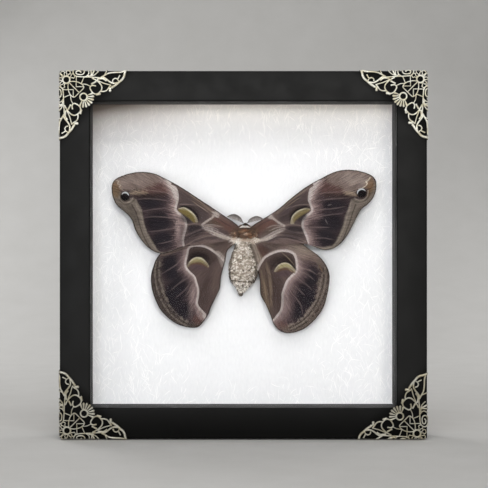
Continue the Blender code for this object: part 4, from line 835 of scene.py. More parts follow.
HINDWING_RIGHT_MARKS = (
    ("ink", 4, 2, 0.9, blot(32.1, -21.2, 4.5, 6, 10), blot(30.6, -30.2, 5, 7.5, 25),
     blot(26.1, -37.7, 4.5, 4.5, 35)),
    ("mauve_dark", 5, 3.4, 0.8, line(6, *HINDWING_RIGHT_LINE)),
    ("mauve", 3.6, 2.2, 0.78, line(3, *HINDWING_RIGHT_LINE)),
    ("taupe", 5, 4, 1, patch(-2.3, 2.2, 15.1, -1.8, 30.6, -2.3, 39.6, -8.3, 42.5, -14.8, 37.6, -14.8,
     33.1, -13.3, 29.1, -12.8, 27.1, -12.3, 24.1, -8.8, 21.1, -7.6, 17.6, -7.6, 14.2, -8.5, 10.7, -11.3,
     7.2, -17.8, 1.7, -13.8, -0.3, -5.3)),
    ("taupe_pale", 5, 2, 0.65, blot(28.1, -7.3, 6, 2.5, -12)),
    ("plum", 3, 2, 0.6, patch(8.7, -5.3, 12.7, -7.8, 10.7, -10.8, 7.2, -13.8, 5.7, -7.8)),
    ("taupe_pale", 1.6, 1.4, 0.85, patch(2.2, -3.8, 4.7, -3.8, 6.7, -7.3, 8.7, -11.8, 8.2, -17.8,
     6.2, -18.8, 3.7, -11.8)),
    ("cream", 0.7, 0.8, 0.28, leaf(0.3, 2.7, -3.3, 4.7, -6.3, 6.5, -10.8, 7.4, -15.8),
     leaf(0.25, 4.2, -3.3, 5.7, -6.8, 7.5, -11.3, 8.5, -15.3)),
    ("umber", 0.7, 0.8, 0.36, leaf(0.3, 3.5, -3.3, 5.2, -6.8, 6.9, -11.3, 7.9, -16.3),
     leaf(0.25, 2.7, -5.3, 4.7, -8.8, 6, -13.8, 6.5, -17.8), leaf(0.3, 5.5, -3.8, 7.2, -7.8, 8.9, -11.8)),
    ("rust_base", 2.4, 2, 0.6, patch(6.2, -5.8, 8.7, -5.8, 11.7, -7.8, 11.2, -10.3, 8.7, -11.8,
     7.2, -9.3)),
    ("umber", 5, 2, 0.5, blot(13.7, -7.3, 4.5, 2.5, 0)),
    ("margin_hind", 1, 7, 0.9, patch(35.6, -13.8, 37.3, -16.8, 37.5, -19.8, 36.6, -25.2, 35.5, -30.7,
     33.6, -34.2, 31.8, -36.9, 29.4, -40.7, 26.6, -43.2, 22.6, -44.9, 18.1, -46.1, 20.1, -53.6, 40, -50.1,
     51.5, -27.7, 49, -8.8, 41.5, -5.8)),
    ("margin_dark", 0.5, 3, 0.9, line(0.3, 38.9, -16.8, 39.4, -21.2, 38.6, -26.2, 37.1, -31.2,
     34.9, -35.7, 31.9, -40, 27.9, -43.7, 22.6, -46.6), line(0.25, 40.8, -16.8, 41.5, -21.2, 40.7, -26.7,
     39.1, -32.2, 36.6, -37, 33.3, -41.4, 28.8, -45.1, 23.1, -47.9)),
    ("margin_pale", 0.6, 2.6, 0.4, line(0.4, 38, -16.8, 38.4, -20.7, 37.6, -25.7, 36.3, -30.7, 34.3, -35,
     31.3, -39.2, 27.3, -42.9, 22.1, -45.6), line(0.25, 39.9, -16.8, 40.4, -21.2, 39.7, -26.7,
     38.1, -31.7, 35.7, -36.3, 32.6, -40.4, 28.3, -44.4, 22.9, -47.3)),
    ("ochre", 0.6, 0.8, 0.6, leaf(0.4, 37.1, -15.3, 37.8, -16.8, 38.6, -18.8)),
    ("vein", 0.5, 0.4, 0.38, leaf(0.35, 26.1, -17.8, 30.6, -19.8, 34.6, -22.7), leaf(0.35, 23.6, -24.2,
     27.6, -28.2, 30.1, -30.7), leaf(0.3, 22.6, -28.2, 27.6, -34.7, 29.1, -40.7), leaf(0.3, 19.6, -32.2,
     21.6, -36.2, 22.1, -40.7), leaf(0.3, 25.6, -21.2, 29.6, -24.2, 33.6, -27.7), leaf(0.3, 21.1, -23.2,
     23.1, -26.2, 25.6, -29.2), leaf(0.3, 27.6, -16.8, 32.1, -17.8, 36.1, -20.2)),
    ("rust", 2.4, 2, 0.6, blot(18.1, -45.1, 3, 2, -20)),
    ("white", 1, 0.7, 0.95, line(1.15, *HINDWING_RIGHT_LINE)),
    ("brown_hind", 0.3, 0.3, 1, patch(*HINDWING_RIGHT_LINE, 5.7, -43.7, 2.7, -20.2)),
    ("umber", 4, 2, 0.8, patch(11.7, -13.8, 14.2, -10.8, 18.1, -9.8, 22.1, -10.3, 24.6, -12.8,
     24.6, -17.8, 22.1, -14.8, 19.1, -13.3, 15.6, -13.8, 13.2, -16.8)),
    ("umber", 5, 2, 0.5, blot(16.1, -28.2, 3, 10, 12)),
    ("brown_olive", 5, 2, 0.55, blot(10.2, -28.7, 2.5, 12, 4)),
    ("sand", 1.6, 0.8, 0.22, leaf(0.7, 10.7, -13.8, 12.7, -22.7, 13.2, -35.7), leaf(0.6, 8.2, -17.8,
     10.2, -27.7, 12.2, -38.7)),
    ("umber", 0.7, 0.6, 0.5, leaf(0.3, 9.7, -15.8, 11.7, -25.7, 12.7, -38.7), leaf(0.25, 12.7, -16.8,
     14.2, -25.7, 15.1, -36.7)),
    ("black", 1.6, 0.8, 0.55, leaf(1.1, 13.2, -17.8, 15.1, -14.5, 17.6, -12.8, 20.6, -12.6, 23.1, -13.8,
     25.6, -17.8)),
    ("black", 0.6, 0.3, 0.7, leaf(0.5, 14.5, -18, 16.1, -15.3, 18.4, -13.9, 20.9, -13.8, 23.3, -15.1,
     25.3, -17.8)),
    ("crescent", 0.6, 0.3, 1, patch(14.5, -18.6, 16, -16, 18.3, -14.4, 20.8, -14.2, 23.1, -15.4,
     25.2, -17.9, 24.9, -19.3, 22.9, -18, 20.6, -16.9, 18.1, -17.3, 16.1, -18.6)),
    ("crescent_yellow", 0.9, 0.4, 0.8, leaf(0.9, 16.6, -17.3, 18.6, -15.7, 21.1, -15.4, 23.4, -16.8)),
    ("crescent_rim", 0.4, 0.3, 0.7, leaf(0.3, 15.1, -17.8, 16.8, -15.7, 19.1, -14.6, 21.6, -14.7,
     23.9, -16.5)),
    ("crescent_brown", 0.9, 0.4, 0.85, leaf(0.7, 15.6, -18.8, 18.1, -17.6, 20.9, -17.2, 23.3, -18.3,
     24.9, -19.5)),
    ("plum_warm", 1.6, 0.8, 0.6, blot(19.6, -19.6, 3.5, 1.4, 8)),
    ("sand", 0.5, 0.4, 0.45, leaf(0.22, 18.1, -8.8, 21.6, -11.8, 24.6, -15.3), leaf(0.25, 21.6, -16.8,
     23.6, -18.8)),
)


# ---------------------------------------------------------------- frame

LIP_THICKNESS = 3.0
LIP_CHAMFER = 0.2
RABBET_WALL = 9.0
EDGE_RADIUS = 0.9
EDGE_STEPS = 5
MITRE_GAP = 0.04
RAILS = ("top", "left", "bottom", "right")

# Loose fibres in the paper: none within the clear radius, and all of them past the full one.
# Below the middle, distances count by this share. The fibres go on behind the rails' lips.
FIBRES = 5200
FIBRE_STEPS = 8
FIBRE_CLEAR = 48.0
FIBRE_FULL = 72.0
SHARE_BELOW = 0.75
BEHIND_LIP = 5.0


def rounded_profile():
    """Section of a rail: distance in from the frame's outer edge, and depth."""
    turn = [math.pi / 2 * i / EDGE_STEPS for i in range(EDGE_STEPS + 1)]
    r = EDGE_RADIUS
    outer = [(r - r * math.cos(a), r - r * math.sin(a)) for a in turn]
    inner = [(FACE_WIDTH - r + r * math.sin(a), r - r * math.cos(a)) for a in turn]
    lip = [(FACE_WIDTH, LIP_THICKNESS - LIP_CHAMFER), (FACE_WIDTH - LIP_CHAMFER, LIP_THICKNESS)]
    rabbet = [(RABBET_WALL, LIP_THICKNESS), (RABBET_WALL, RAIL_DEPTH)]
    back = [(r - r * math.sin(a), RAIL_DEPTH - r + r * math.cos(a)) for a in turn]
    return outer + inner + lip + rabbet + back


def make_rails():
    """Four mitred rails, each the one before it turned by a quarter."""
    material = black_wood()
    profile = rounded_profile()
    faces = turned(tube_faces(2, len(profile)))
    for quarter, where in enumerate(RAILS):
        ends = []
        for side in (-1, 1):
            for inset, depth in profile:
                x, z = side * (HALF - inset - MITRE_GAP), HALF - inset
                for _ in range(quarter):
                    x, z = -z, x
                ends.append(place(x, depth, z))
        made = add_mesh(f"painted_rail_{where}", ends, faces, material, 35)
        dress(made, "black_wood", f"rail_{where}")


def make_paper_fibres(material):
    """Long fibres pressed into the paper, standing a little proud of it, few in its middle."""
    chance = random.Random(11)
    reach = OPENING_HALF + BEHIND_LIP
    points = []
    faces = []
    for _ in range(FIBRES):
        x = chance.uniform(-reach, reach)
        z = chance.uniform(-reach, reach)
        away = math.hypot(x, z if z > 0 else z * SHARE_BELOW)
        if chance.random() > (away - FIBRE_CLEAR) / (FIBRE_FULL - FIBRE_CLEAR):
            continue
        heading = chance.gauss(math.pi / 2, 0.55)
        turn = chance.gauss(0.0, 0.07)
        step = chance.uniform(0.2, 0.9)
        width = chance.uniform(0.05, 0.2) ** 2 / 0.2 + 0.04
        rise = chance.uniform(0.02, 0.05)
        start = len(points)
        for i in range(FIBRE_STEPS + 1):
            taper = math.sin(math.pi * (i + 0.35) / (FIBRE_STEPS + 0.7))
            aside = -math.sin(heading) * width * taper
            above = math.cos(heading) * width * taper
            points.append(place(x + aside, PAPER_DEPTH, z + above))
            points.append(place(x, PAPER_DEPTH - rise * taper, z))
            points.append(place(x - aside, PAPER_DEPTH, z - above))
            x += step * math.cos(heading)
            z += step * math.sin(heading)
            heading += turn
            if i:
                a = start + 3 * i
                faces += [(a - 3, a - 2, a + 1, a), (a - 2, a - 1, a + 2, a + 1)]
            if max(abs(x), abs(z)) > reach:
                break
    dress(add_mesh("paper_fibres", points, faces, material, 80), "pearl_paper")


def dress_nodes():
    """The parts that the frame has in their true shape only take their finish."""
    metal = steel()
    finishes = {
        "glass_pane": clear_glass(),
        "backing_paper": pearl_paper(),
        "mount_board": card("white_card", 0.85, 1500.0, 1.0, (214, 211, 203), (232, 229, 222), 0.00008),
        "back_panel": brown_board(),
        "spacer": card("black_card", 0.75, 1800.0, 0.25, (26, 25, 24), (42, 41, 40), 0.00006),
        "glazier": metal,
        "sawtooth": metal,
        "hanger": metal,
        "specimen": metal,
    }
    for name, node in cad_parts.items():
        for start, finish in finishes.items():
            if name.startswith(start):
                for slot in node.material_slots:
                    slot.material = finish


# ---------------------------------------------------------------- corner brackets
# The stamping is symmetric about its diagonal. A stroke of the half drawn here runs along one
# leg: first the distance along the frame's edge from the corner, then the distance in from it.

# Each stroke has its width, then its points as numbers that follow one another
HALF_STROKES = (
    # stem and both turns of the edge scroll
    (1, 22.3, 2.9, 19.1, 2.8, 15.8, 2.5, 12.1, 2.4, 8.9, 2.1, 7.6, 1.3, 7.1, 0.1, 7.6, -1, 9.6, -1.7,
     11.7, -1.3, 12.6, -0.3, 12.2, 0.8, 11.1, 1.3, 9.6, 1.2, 8.7, 0.8, 8.6, 0, 9.4, -0.5, 10.4, -0.4,
     10.9, 0),
    # fan of petals at the edge
    (0.9, 13.3, 2.3, 14.5, 1.3, 14.8, 0.1, 14.1, -1.1),
    (1.1, 16, 1.6, 16, -1.1),
    (1.2, 16.5, 1.2, 17.6, -0.9),
    (0.9, 14.6, 1.9, 17, 1.7, 18.6, 0.6, 19.3, -0.2),
    # big scroll, its inner blade and its knob
    (1.1, 16.6, 3.1, 17.8, 3.7, 19.3, 4.7, 20.4, 5.8, 21.1, 7, 21.1, 8.4, 20.2, 9.8, 18.7, 10.8,
     17, 10.4, 15.8, 8.9, 15.4, 7.6, 16, 6.8, 16.9, 6.6, 18, 6.8),
    (1.3, 16.3, 5.8, 18.1, 4.8),
    (1.7, 18.8, 11, 20.1, 10.7),
    # link and knob between the big scroll and the end leaf
    (1.1, 20.6, 9.5, 22.4, 9.5, 23.8, 8.8, 24.6, 7.6, 25.5, 6.5),
    (1.8, 25.2, 8, 25.2, 9.1),
    # end leaf: rim along the edge, broad outer rim, lower edge, inner curl and its blade
    (1.2, 21, 2.5, 22.8, 1.5, 24.3, 0.7, 26, 0.35, 28, 0.2, 30.4, 0.1, 32.7, -0.5),
    (1.7, 32.9, -0.9, 32.3, 0.8, 32, 2.2, 31.2, 3.6, 29.8, 4.8, 28.2, 6.2, 26.2, 7.5),
    (1.3, 21.6, 2.3, 23.3, 3.4, 24.9, 4.7, 26.6, 5.5, 28.6, 5.4),
    (1, 29.4, 4.4, 28.8, 3.5, 27.7, 3.1, 26.7, 3.7, 26.5, 4.5),
    (1, 29.2, 3.1, 29.9, 1.8),
    (0.9, 22.6, 1.4, 23.7, -0.9),
    # pointed leaf under the stem
    (0.9, 18.9, 4.1, 20.7, 4.9, 22.4, 5.6, 25, 6.3),
    (1.2, 19.2, 3.5, 21.6, 3.3, 23.2, 4.2),
    # web
    (0.85, 5.2, 4.8, 7.3, 4.6, 9.5, 5, 11, 5.7, 12.1, 6.8, 12.2, 7.9, 10.1, 10.1),
    (0.75, 8.7, 2.4, 8.6, 7.2),
    (0.75, 8.6, 7.2, 12, 7.2),
    (0.8, 12.4, 2.6, 11.2, 5.5),
    (0.75, 11.6, 5.9, 13.6, 6.1, 15.5, 7),
)
DIAGONAL_BAR = (0.85, 5.2, 5.2, 10.1, 10.1)
# Rings: centre, radius and width
CORNER_RING = ((3.8, 3.8), 1.75, 0.95)
MIDDLE_RING = ((12.2, 12.2), 1.75, 0.9)
# Petals round the corner ring: where they point in degrees, then start, end and breadth
PETAL_ANGLES = (-30.0, -75.0, -120.0, 210.0, 165.0, 120.0)
PETAL_SIZE = (1.9, 4.5, 2.3)
# Clubs that fan out round the middle ring: the first and last in degrees, then start and end
FAN_PETALS = 8
FAN_ANGLES = (-22.0, 112.0)
FAN_REACH = (1.9, 4.8)

BRACKET_GAP = 0.12
BRACKET_THICKNESS = 0.9
FLANGE_SHARE = 0.4
FOLD_RADIUS = 0.35
# Bars have this share of their stroke's width, and beads at their ends this share of the bar's
WIRE_SHARE = 0.75
BEAD_SHARE = 0.62
# The crown of a bar as a share of the thickness: for a narrow one, more for each millimetre of
# width, and how square its section is, down from 1 for a round one
CROWN_SHARE = 0.62
CROWN_GROWTH = 0.3
CROWN_SQUARE = 0.8
BEAD_HEIGHT = 0.9
PETAL_WIDTH = 0.62
PETAL_HEIGHT = 0.9
CLUB_WIDTHS = (0.6, 1.35)
CLUB_BEAD = 0.66
WIRE_SIDES = 8
RING_SIDES = 28
BEAD_SIDES = 10
BEAD_ROWS = 4
# How far each bracket sits in from the frame's side edge, then from its top or bottom edge
BRACKET_SHIFT = {
    "top_left": (-0.5, 0.6),
    "top_right": (-0.35, 0.25),
    "bottom_left": (-0.2, 0.1),
    "bottom_right": (1.3, -1.3),
}


def bent(along_side, along_top, lift):
    """Where points over the flat stamping end up on the frame's top left corner."""
    past_side = along_side + BRACKET_GAP
    past_top = along_top + BRACKET_GAP
    x = np.where(past_side > 0, along_side, -BRACKET_GAP) - HALF
    z = HALF - np.where(past_top > 0, along_top, -BRACKET_GAP)
    depth = -BRACKET_GAP + np.maximum(0, -past_side) + np.maximum(0, -past_top)
    turn_side = np.clip(0.5 - past_side / (2 * FOLD_RADIUS), 0, 1) * math.pi / 2
    turn_top = np.clip(0.5 - past_top / (2 * FOLD_RADIUS), 0, 1) * math.pi / 2
    most = np.maximum(np.sin(turn_side), np.sin(turn_top))
    lift = lift * (1 - (1 - FLANGE_SHARE) * most)
    depth = depth - lift * np.cos(turn_side) * np.cos(turn_top)
    return x - lift * np.sin(turn_side), depth, z + lift * np.sin(turn_top)


def wire(curve, widths, closed=False, top=1.0):
    """A domed bar along a flat curve: its points as along, in and lift, and its faces."""
    if closed:
        ahead = np.roll(curve, -1, axis=0) - np.roll(curve, 1, axis=0)
    else:
        ahead = np.vstack([curve[1:], curve[-1:]]) - np.vstack([curve[:1], curve[:-1]])
    ahead /= np.maximum(np.hypot(*ahead.T), 1e-9)[:, None]
    across = np.stack([-ahead[:, 1], ahead[:, 0]], axis=1)
    widths = np.broadcast_to(widths, len(curve))
    crown = BRACKET_THICKNESS * top * np.minimum(1.0, CROWN_SHARE + CROWN_GROWTH * widths)
    sections = []
    for k in range(WIRE_SIDES + 1):
        angle = math.pi * k / WIRE_SIDES
        flat = curve + across * (widths / 2 * math.cos(angle))[:, None]
        sections.append(np.column_stack([flat, crown * math.sin(angle) ** CROWN_SQUARE]))
    points = np.stack(sections, axis=1).reshape(-1, 3)
    return points, tube_faces(len(curve), WIRE_SIDES + 1, closed)


def circle(centre, radius, sides):
    angles = 2 * math.pi * np.arange(sides) / sides
    return np.column_stack([centre[0] + radius * np.cos(angles), centre[1] + radius * np.sin(angles)])


def bead(centre, radius):
    """A small dome, as points of along, in and lift, and its faces."""
    rings = []
    for row in range(BEAD_ROWS):
        angle = math.pi / 2 * row / BEAD_ROWS
        lift = np.full(BEAD_SIDES, BRACKET_THICKNESS * BEAD_HEIGHT * math.sin(angle))
        rings.append(np.column_stack([circle(centre, radius * math.cos(angle), BEAD_SIDES), lift]))
    return np.vstack(rings), tube_faces(BEAD_ROWS, BEAD_SIDES)


def petal_loop(centre, degrees, inner, outer, breadth):
    """An open petal on a ray from a centre, as a closed loop."""
    shape = [(inner, 0.12), (0.55 * inner + 0.45 * outer, 0.5), (outer - breadth * 0.45, 0.98)]
    shape += [(outer - 0.1, 0.6), (outer, 0.0)]
    side = [(r, breadth / 2 * s) for r, s in shape]
    loop = smooth(side + [(r, -w) for r, w in reversed(side[:-1])], 4, closed=True)
    angle = math.radians(degrees)
    turn = np.array([[math.cos(angle), math.sin(angle)], [-math.sin(angle), math.cos(angle)]])
    return loop @ turn + centre


def bracket_wires():
    """Every bar of the stamping, both halves."""
    wires = []
    for width, *numbers in HALF_STROKES:
        points = in_pairs(numbers)
        curve = smooth(points, 6 if len(points) > 3 else 8)
        bar = width * WIRE_SHARE
        for half in (curve, curve[:, ::-1]):
            ends = [bead(end, bar * BEAD_SHARE) for end in (half[0], half[-1])]
            wires += [wire(half, bar), *ends]
    width, *numbers = DIAGONAL_BAR
    wires.append(wire(smooth(in_pairs(numbers), 8), width * WIRE_SHARE))
    for centre, radius, width in (CORNER_RING, MIDDLE_RING):
        wires.append(wire(circle(centre, radius, RING_SIDES), width, closed=True))
    for angle in PETAL_ANGLES:
        loop = petal_loop(CORNER_RING[0], angle, *PETAL_SIZE)
        wires.append(wire(loop, PETAL_WIDTH, closed=True, top=PETAL_HEIGHT))
    start, end = FAN_REACH
    thin, thick = CLUB_WIDTHS
    for angle in np.radians(np.linspace(*FAN_ANGLES, FAN_PETALS)):
        reach = np.linspace(start, end, 10)
        club = MIDDLE_RING[0] + reach[:, None] * np.array([math.cos(angle), math.sin(angle)])
        share = (reach - start) / (end - start)
        wires += [wire(club, thin + (thick - thin) * share**1.5), bead(club[-1], CLUB_BEAD)]
    return wires


def make_brackets():
    """The stamping on each corner, mirrored for the right side and for the bottom."""
    material = antique_brass()
    wires = bracket_wires()
    starts = np.cumsum([0] + [len(points) for points, _ in wires])
    faces = [tuple(i + start for i in face) for (_, bar), start in zip(wires, starts) for face in bar]
    for corner, shift in BRACKET_SHIFT.items():
        along_side, along_top, lift = (np.vstack([points for points, _ in wires]) + (*shift, 0.0)).T
        x, depth, z = bent(along_side, along_top, lift)
        flip_x = -1 if "right" in corner else 1
        flip_z = -1 if "bottom" in corner else 1
        placed = place(flip_x * x, depth, flip_z * z)
        outward = faces if flip_x == flip_z else turned(faces)
        height = lift / BRACKET_THICKNESS
        made = add_mesh(f"brass_{corner}", placed, outward, material, 50, height=height)
        dress(made, "antique_brass", f"bracket_{corner}")


# ---------------------------------------------------------------- wings

FOREWING_DEPTH = 13.6
HINDWING_DEPTH = 14.9
WING_PITCH = 0.3
WING_THICKNESS = 0.3
VEIN_BREADTH = 0.28
VEIN_HEIGHT = 0.12
PLEATS = 34.0
PLEAT_HEIGHT = 0.07
# Corners of an outline nearer the middle and higher than these keep only a share of their place,
# so that the wing reaches under the body
ROOT_SIDE = 7.0
ROOT_LOW = -5.0
ROOT_REACH = (0.45, 0.66)
# Where the two wings of a side overlap: how far out, and between which heights
OVERLAP_SIDE = 27.0
OVERLAP_LOW = -7.0
OVERLAP_HIGH = 1.5
# How fast the streaks change round the wing's root, and how slowly along its rays
STREAK_ROUND = 85.0
STREAK_ALONG = 0.14
# Where along the outline, from 0 to 1, each vein ends
FORE_VEINS = (0.23, 0.30, 0.36, 0.42, 0.48, 0.55, 0.62, 0.70)
HIND_VEINS = (0.28, 0.36, 0.44, 0.52, 0.60, 0.68, 0.76, 0.84)


def forewing_depth(x, z):
    """Mid depth of a forewing: it rises towards the tip and its front edge."""
    return FOREWING_DEPTH - 1.5 * (np.abs(x) / 65.0) ** 1.3 - 0.02 * (z - 5.0)


def hindwing_depth(x, z):
    """Mid depth of a hindwing: it lies just behind the forewing and droops to its outer edge."""
    return HINDWING_DEPTH - 0.5 * np.abs(x) / 45.0 - 0.012 * z


def closeness(points, shape):
    """Signed distance into a marking's shape, in millimetres."""
    kind, *numbers = shape
    if kind == "patch":
        outline = smooth(in_pairs(numbers), 4, closed=True)
        away, _ = nearest(points, outline, closed=True)
        return np.where(inside(points, outline), away, -away)
    if kind == "blot":
        *centre, wide, high, degrees = numbers
        angle = math.radians(degrees)
        x, z = (points - centre).T
        across = (x * math.cos(angle) + z * math.sin(angle)) / wide
        up = (z * math.cos(angle) - x * math.sin(angle)) / high
        return (1 - np.hypot(across, up)) * min(wide, high)
    width, *numbers = numbers
    away, along = nearest(points, smooth(in_pairs(numbers), 4))
    if kind == "leaf":
        return width * (1 - (2 * along - 1) ** 2) ** 0.6 - away
    return width - away


def wing_vein(start, end):
    """A line from a wing's root to its outer edge, bowed a little."""
    middle = start * 0.45 + end * 0.55 + (0.0, 0.04 * abs(end[0] - start[0]))
    return smooth([start, middle, end], 12)


def wing_sheet(name, corners):
    """A wing's outline, and the points and triangles of an even net that fills it."""
    chance = random.Random(name)
    corners = np.array(corners)
    corners[(np.abs(corners[:, 0]) < ROOT_SIDE) & (corners[:, 1] > ROOT_LOW)] *= ROOT_REACH
    outline = smooth(corners, 14, closed=True)
    outline = outline + [[chance.uniform(-0.05, 0.05) for _ in range(2)] for _ in outline]
    low, high = outline.min(axis=0), outline.max(axis=0)
    rows = np.arange(low[1], high[1], WING_PITCH * 0.87)
    columns = np.arange(low[0], high[0], WING_PITCH)
    grid = np.array([(x + (i % 2) * WING_PITCH / 2, z) for i, z in enumerate(rows) for x in columns])
    grid = grid[inside(grid, outline)]
    grid = grid[nearest(grid, outline[::3], closed=True)[0] > WING_PITCH * 0.6]
    flat = [Vector(p) for p in np.vstack([outline, grid])]
    edges = [(i, (i + 1) % len(outline)) for i in range(len(outline))]
    made = delaunay_2d_cdt(flat, edges, [], 1, 1e-5)
    return outline, np.array([tuple(p) for p in made[0]]), [tuple(face) for face in made[2]]


def make_wing(name, corners, depth_of, root, vein_ends, marks):
    """A thin curved membrane with raised veins and a value for each marking."""
    outline, points, faces = wing_sheet(name, corners)
    root = np.array(root)
    x, z = points.T
    ridge = np.zeros(len(points))
    for share in vein_ends:
        away, along = nearest(points, wing_vein(root, outline[int(share * len(outline))]))
        ridge = np.maximum(ridge, (1 - 0.6 * along) * np.exp(-((away / VEIN_BREADTH) ** 2)))
    angle = np.arctan2(z - root[1], np.abs(x - root[0]))
    radius = np.hypot(x - root[0], z - root[1])
    depth = depth_of(x, z) + np.sin(angle * PLEATS) * PLEAT_HEIGHT * np.clip(radius / 30.0, 0, 1)
    front = moth_place(x, depth - WING_THICKNESS / 2 - VEIN_HEIGHT * ridge, z)
    back = moth_place(x, depth + WING_THICKNESS / 2, z)
    total = len(points)
    used = {(a, b) for face in faces for a, b in zip(face, face[1:] + face[:1])}
    sides = [(b, a, a + total, b + total) for a, b in used if (b, a) not in used]
    reverse = [tuple(i + total for i in face) for face in turned(faces)]

    # No dark rim where the two wings of a side overlap
    overlap = (np.abs(x) < OVERLAP_SIDE) & (z < OVERLAP_HIGH) & (z > OVERLAP_LOW)
    values = {"rim": nearest(points, outline, closed=True)[0] + np.where(overlap, 2.0, 0.0)}
    for number, (_, _, _, _, *shapes) in enumerate(marks):
        values[f"mark_{number}"] = np.max([closeness(points, shape) for shape in shapes], axis=0)
    doubled = {key: np.tile(numbers, 2) for key, numbers in values.items()}
    placed = np.vstack([front, back])
    material = scales(f"scales_{name}", marks)
    wing = add_mesh(f"scaled_{name}", placed, [*faces, *reverse, *sides], material, 50, **doubled)
    spread = np.column_stack([angle * STREAK_ROUND, radius * STREAK_ALONG, np.zeros(total)])
    fan = wing.data.attributes.new("fan", "FLOAT_VECTOR", "POINT")
    fan.data.foreach_set("vector", np.vstack([spread, spread]).astype(np.float32).ravel())
    dress(wing, "wing_scales", name)


def make_wings():
    make_wing("forewing_left", FOREWING_LEFT, forewing_depth, (-5.5, 2.5), FORE_VEINS,
              FOREWING_LEFT_MARKS)
    make_wing("forewing_right", FOREWING_RIGHT, forewing_depth, (5.7, 2.3), FORE_VEINS,
              FOREWING_RIGHT_MARKS)
    make_wing("hindwing_left", HINDWING_LEFT, hindwing_depth, (-5.7, -2.0), HIND_VEINS,
              HINDWING_LEFT_MARKS)
    make_wing("hindwing_right", HINDWING_RIGHT, hindwing_depth, (5.7, -2.0), HIND_VEINS,
              HINDWING_RIGHT_MARKS)


# ---------------------------------------------------------------- body

# Depths of the middle of the body and of the antennae
BODY_DEPTH = 15.0
ANTENNA_DEPTH = 11.9
RING_STEPS = 6
ABDOMEN_SEGMENTS = 7
ABDOMEN_SIDES = 40
THORAX_SIDES = 32
HEAD_ROWS = 12
HEAD_SIDES = 20
LEG_SIDES = 8
SHAFT_SIDES = 6
SHAFT_RADIUS = 0.2
# Height of a band of wool round the abdomen, and blades in a tuft of it; tufts of the thorax;
# and how many hairs, and how broad, the other parts have
WOOL_BAND = 0.62
WOOL_BLADES = 11
WOOL_WIDTH = 0.2
THORAX_TUFTS = 200
TUFT_HAIRS = 28
THORAX_WIDTH = 0.12
LOOSE_WIDTH = 0.13
HEAD_HAIRS = 420
HEAD_WIDTH = 0.09
LEG_HAIRS = 60
LEG_WIDTH = 0.07
COMB_WIDTH = 0.16
# Heights from which the thorax has short hairs, and from which it is the neck
SHORT_HAIRS_FROM = 2.2
NECK_FROM = 3.1
# The thorax's skin below its fur, as a share of its rings
SKIN_SHARE = 0.9
# Paler patches in the thorax's fur, an orange one low in the middle and a tan one on each
# shoulder: how far out, how high, half width, half height and strength
ORANGE_PATCH = (-0.5, -0.9, 1.7, 1.9, 0.28)
TAN_PATCH = (4.6, 0.4, 1.3, 1.6, 0.1)
# Heights on the abdomen: the waist's lower end, the last joint and how it bows, the top of the
# pale wool and of the dark tip; and the middle and radius of its dark spot
WAIST_END = -6.0
JOINT_HEIGHT = -23.2
JOINT_BOW = 0.012
PALE_TOP = -23.8
TIP_TOP = -28.7
SPOT = (-1.1, -25.3)
SPOT_RADIUS = 0.75
FORWARD = np.array([0.0, -1.0, 0.0])
DOWN = np.array([0.0, 0.0, -1.0])

# Fur: the shade of the roots, then where along the tone each shade of the tips stands
WOOL = ((122, 111, 100), ((0.0, (52, 45, 42)), (0.28, (150, 138, 126)), (0.55, (208, 199, 188)),
                          (1.0, (246, 240, 232))))
BROWN_FUR = ((72, 54, 44), ((0.0, (52, 42, 36)), (0.2, (112, 89, 73)), (0.42, (160, 114, 84)),
                            (0.6, (172, 148, 128)), (0.8, (210, 199, 185)), (1.0, (248, 244, 238))))
HEAD_FUR = ((34, 27, 24), ((0.0, (30, 25, 24)), (0.35, (96, 76, 60)), (0.6, (226, 218, 206))))
COMB = ((70, 64, 62), ((0.0, (84, 78, 77)), (0.5, (128, 122, 120)), (1.0, (176, 172, 170))))

# Loose hairs: how many, the mean and spread of their x and of their height, their depth, heading,
# shortest and longest length, and tone. On a shoulder x and heading are outwards, and the rows
# are the dark spread over the wing root, tan and cream hairs, the cream tuft and a dark edge.
SHOULDER_HAIRS = (
    (900, (3.4, 1.1), (0.7, 1.3), 12.3, (1.0, -0.1, -0.5), (0.6, 2.0), 0.05),
    (24, (4.5, 0.6), (0.3, 0.9), 12.2, (0.6, -0.15, -0.8), (0.6, 1.4), 0.36),
    (14, (4.9, 0.9), (-0.4, 1.1), 12.2, (1.0, -0.1, -0.5), (0.6, 1.4), 0.7),
    (200, (4.1, 1.1), (-2.6, 0.5), 12.2, (1.0, -0.02, -0.5), (0.8, 2.6), 0.78),
    (120, (3.5, 0.5), (0.6, 1.2), 12.0, (0.2, -0.2, -1.0), (0.5, 1.0), 0.02),
)
# The cream fringe over the waist, and a white tuft left of it
WAIST_HAIRS = (
    (240, (0.3, 1.5), (-2.6, 0.3), 11.5, (0.0, 0.1, -1.0), (0.6, 1.8), 0.72),
    (160, (-3.0, 0.7), (-3.1, 0.5), 11.7, (-0.3, 0.0, -1.0), (0.9, 1.9), 0.97),
)
RUFF_HAIRS = 420
COLLAR_HAIRS = 150


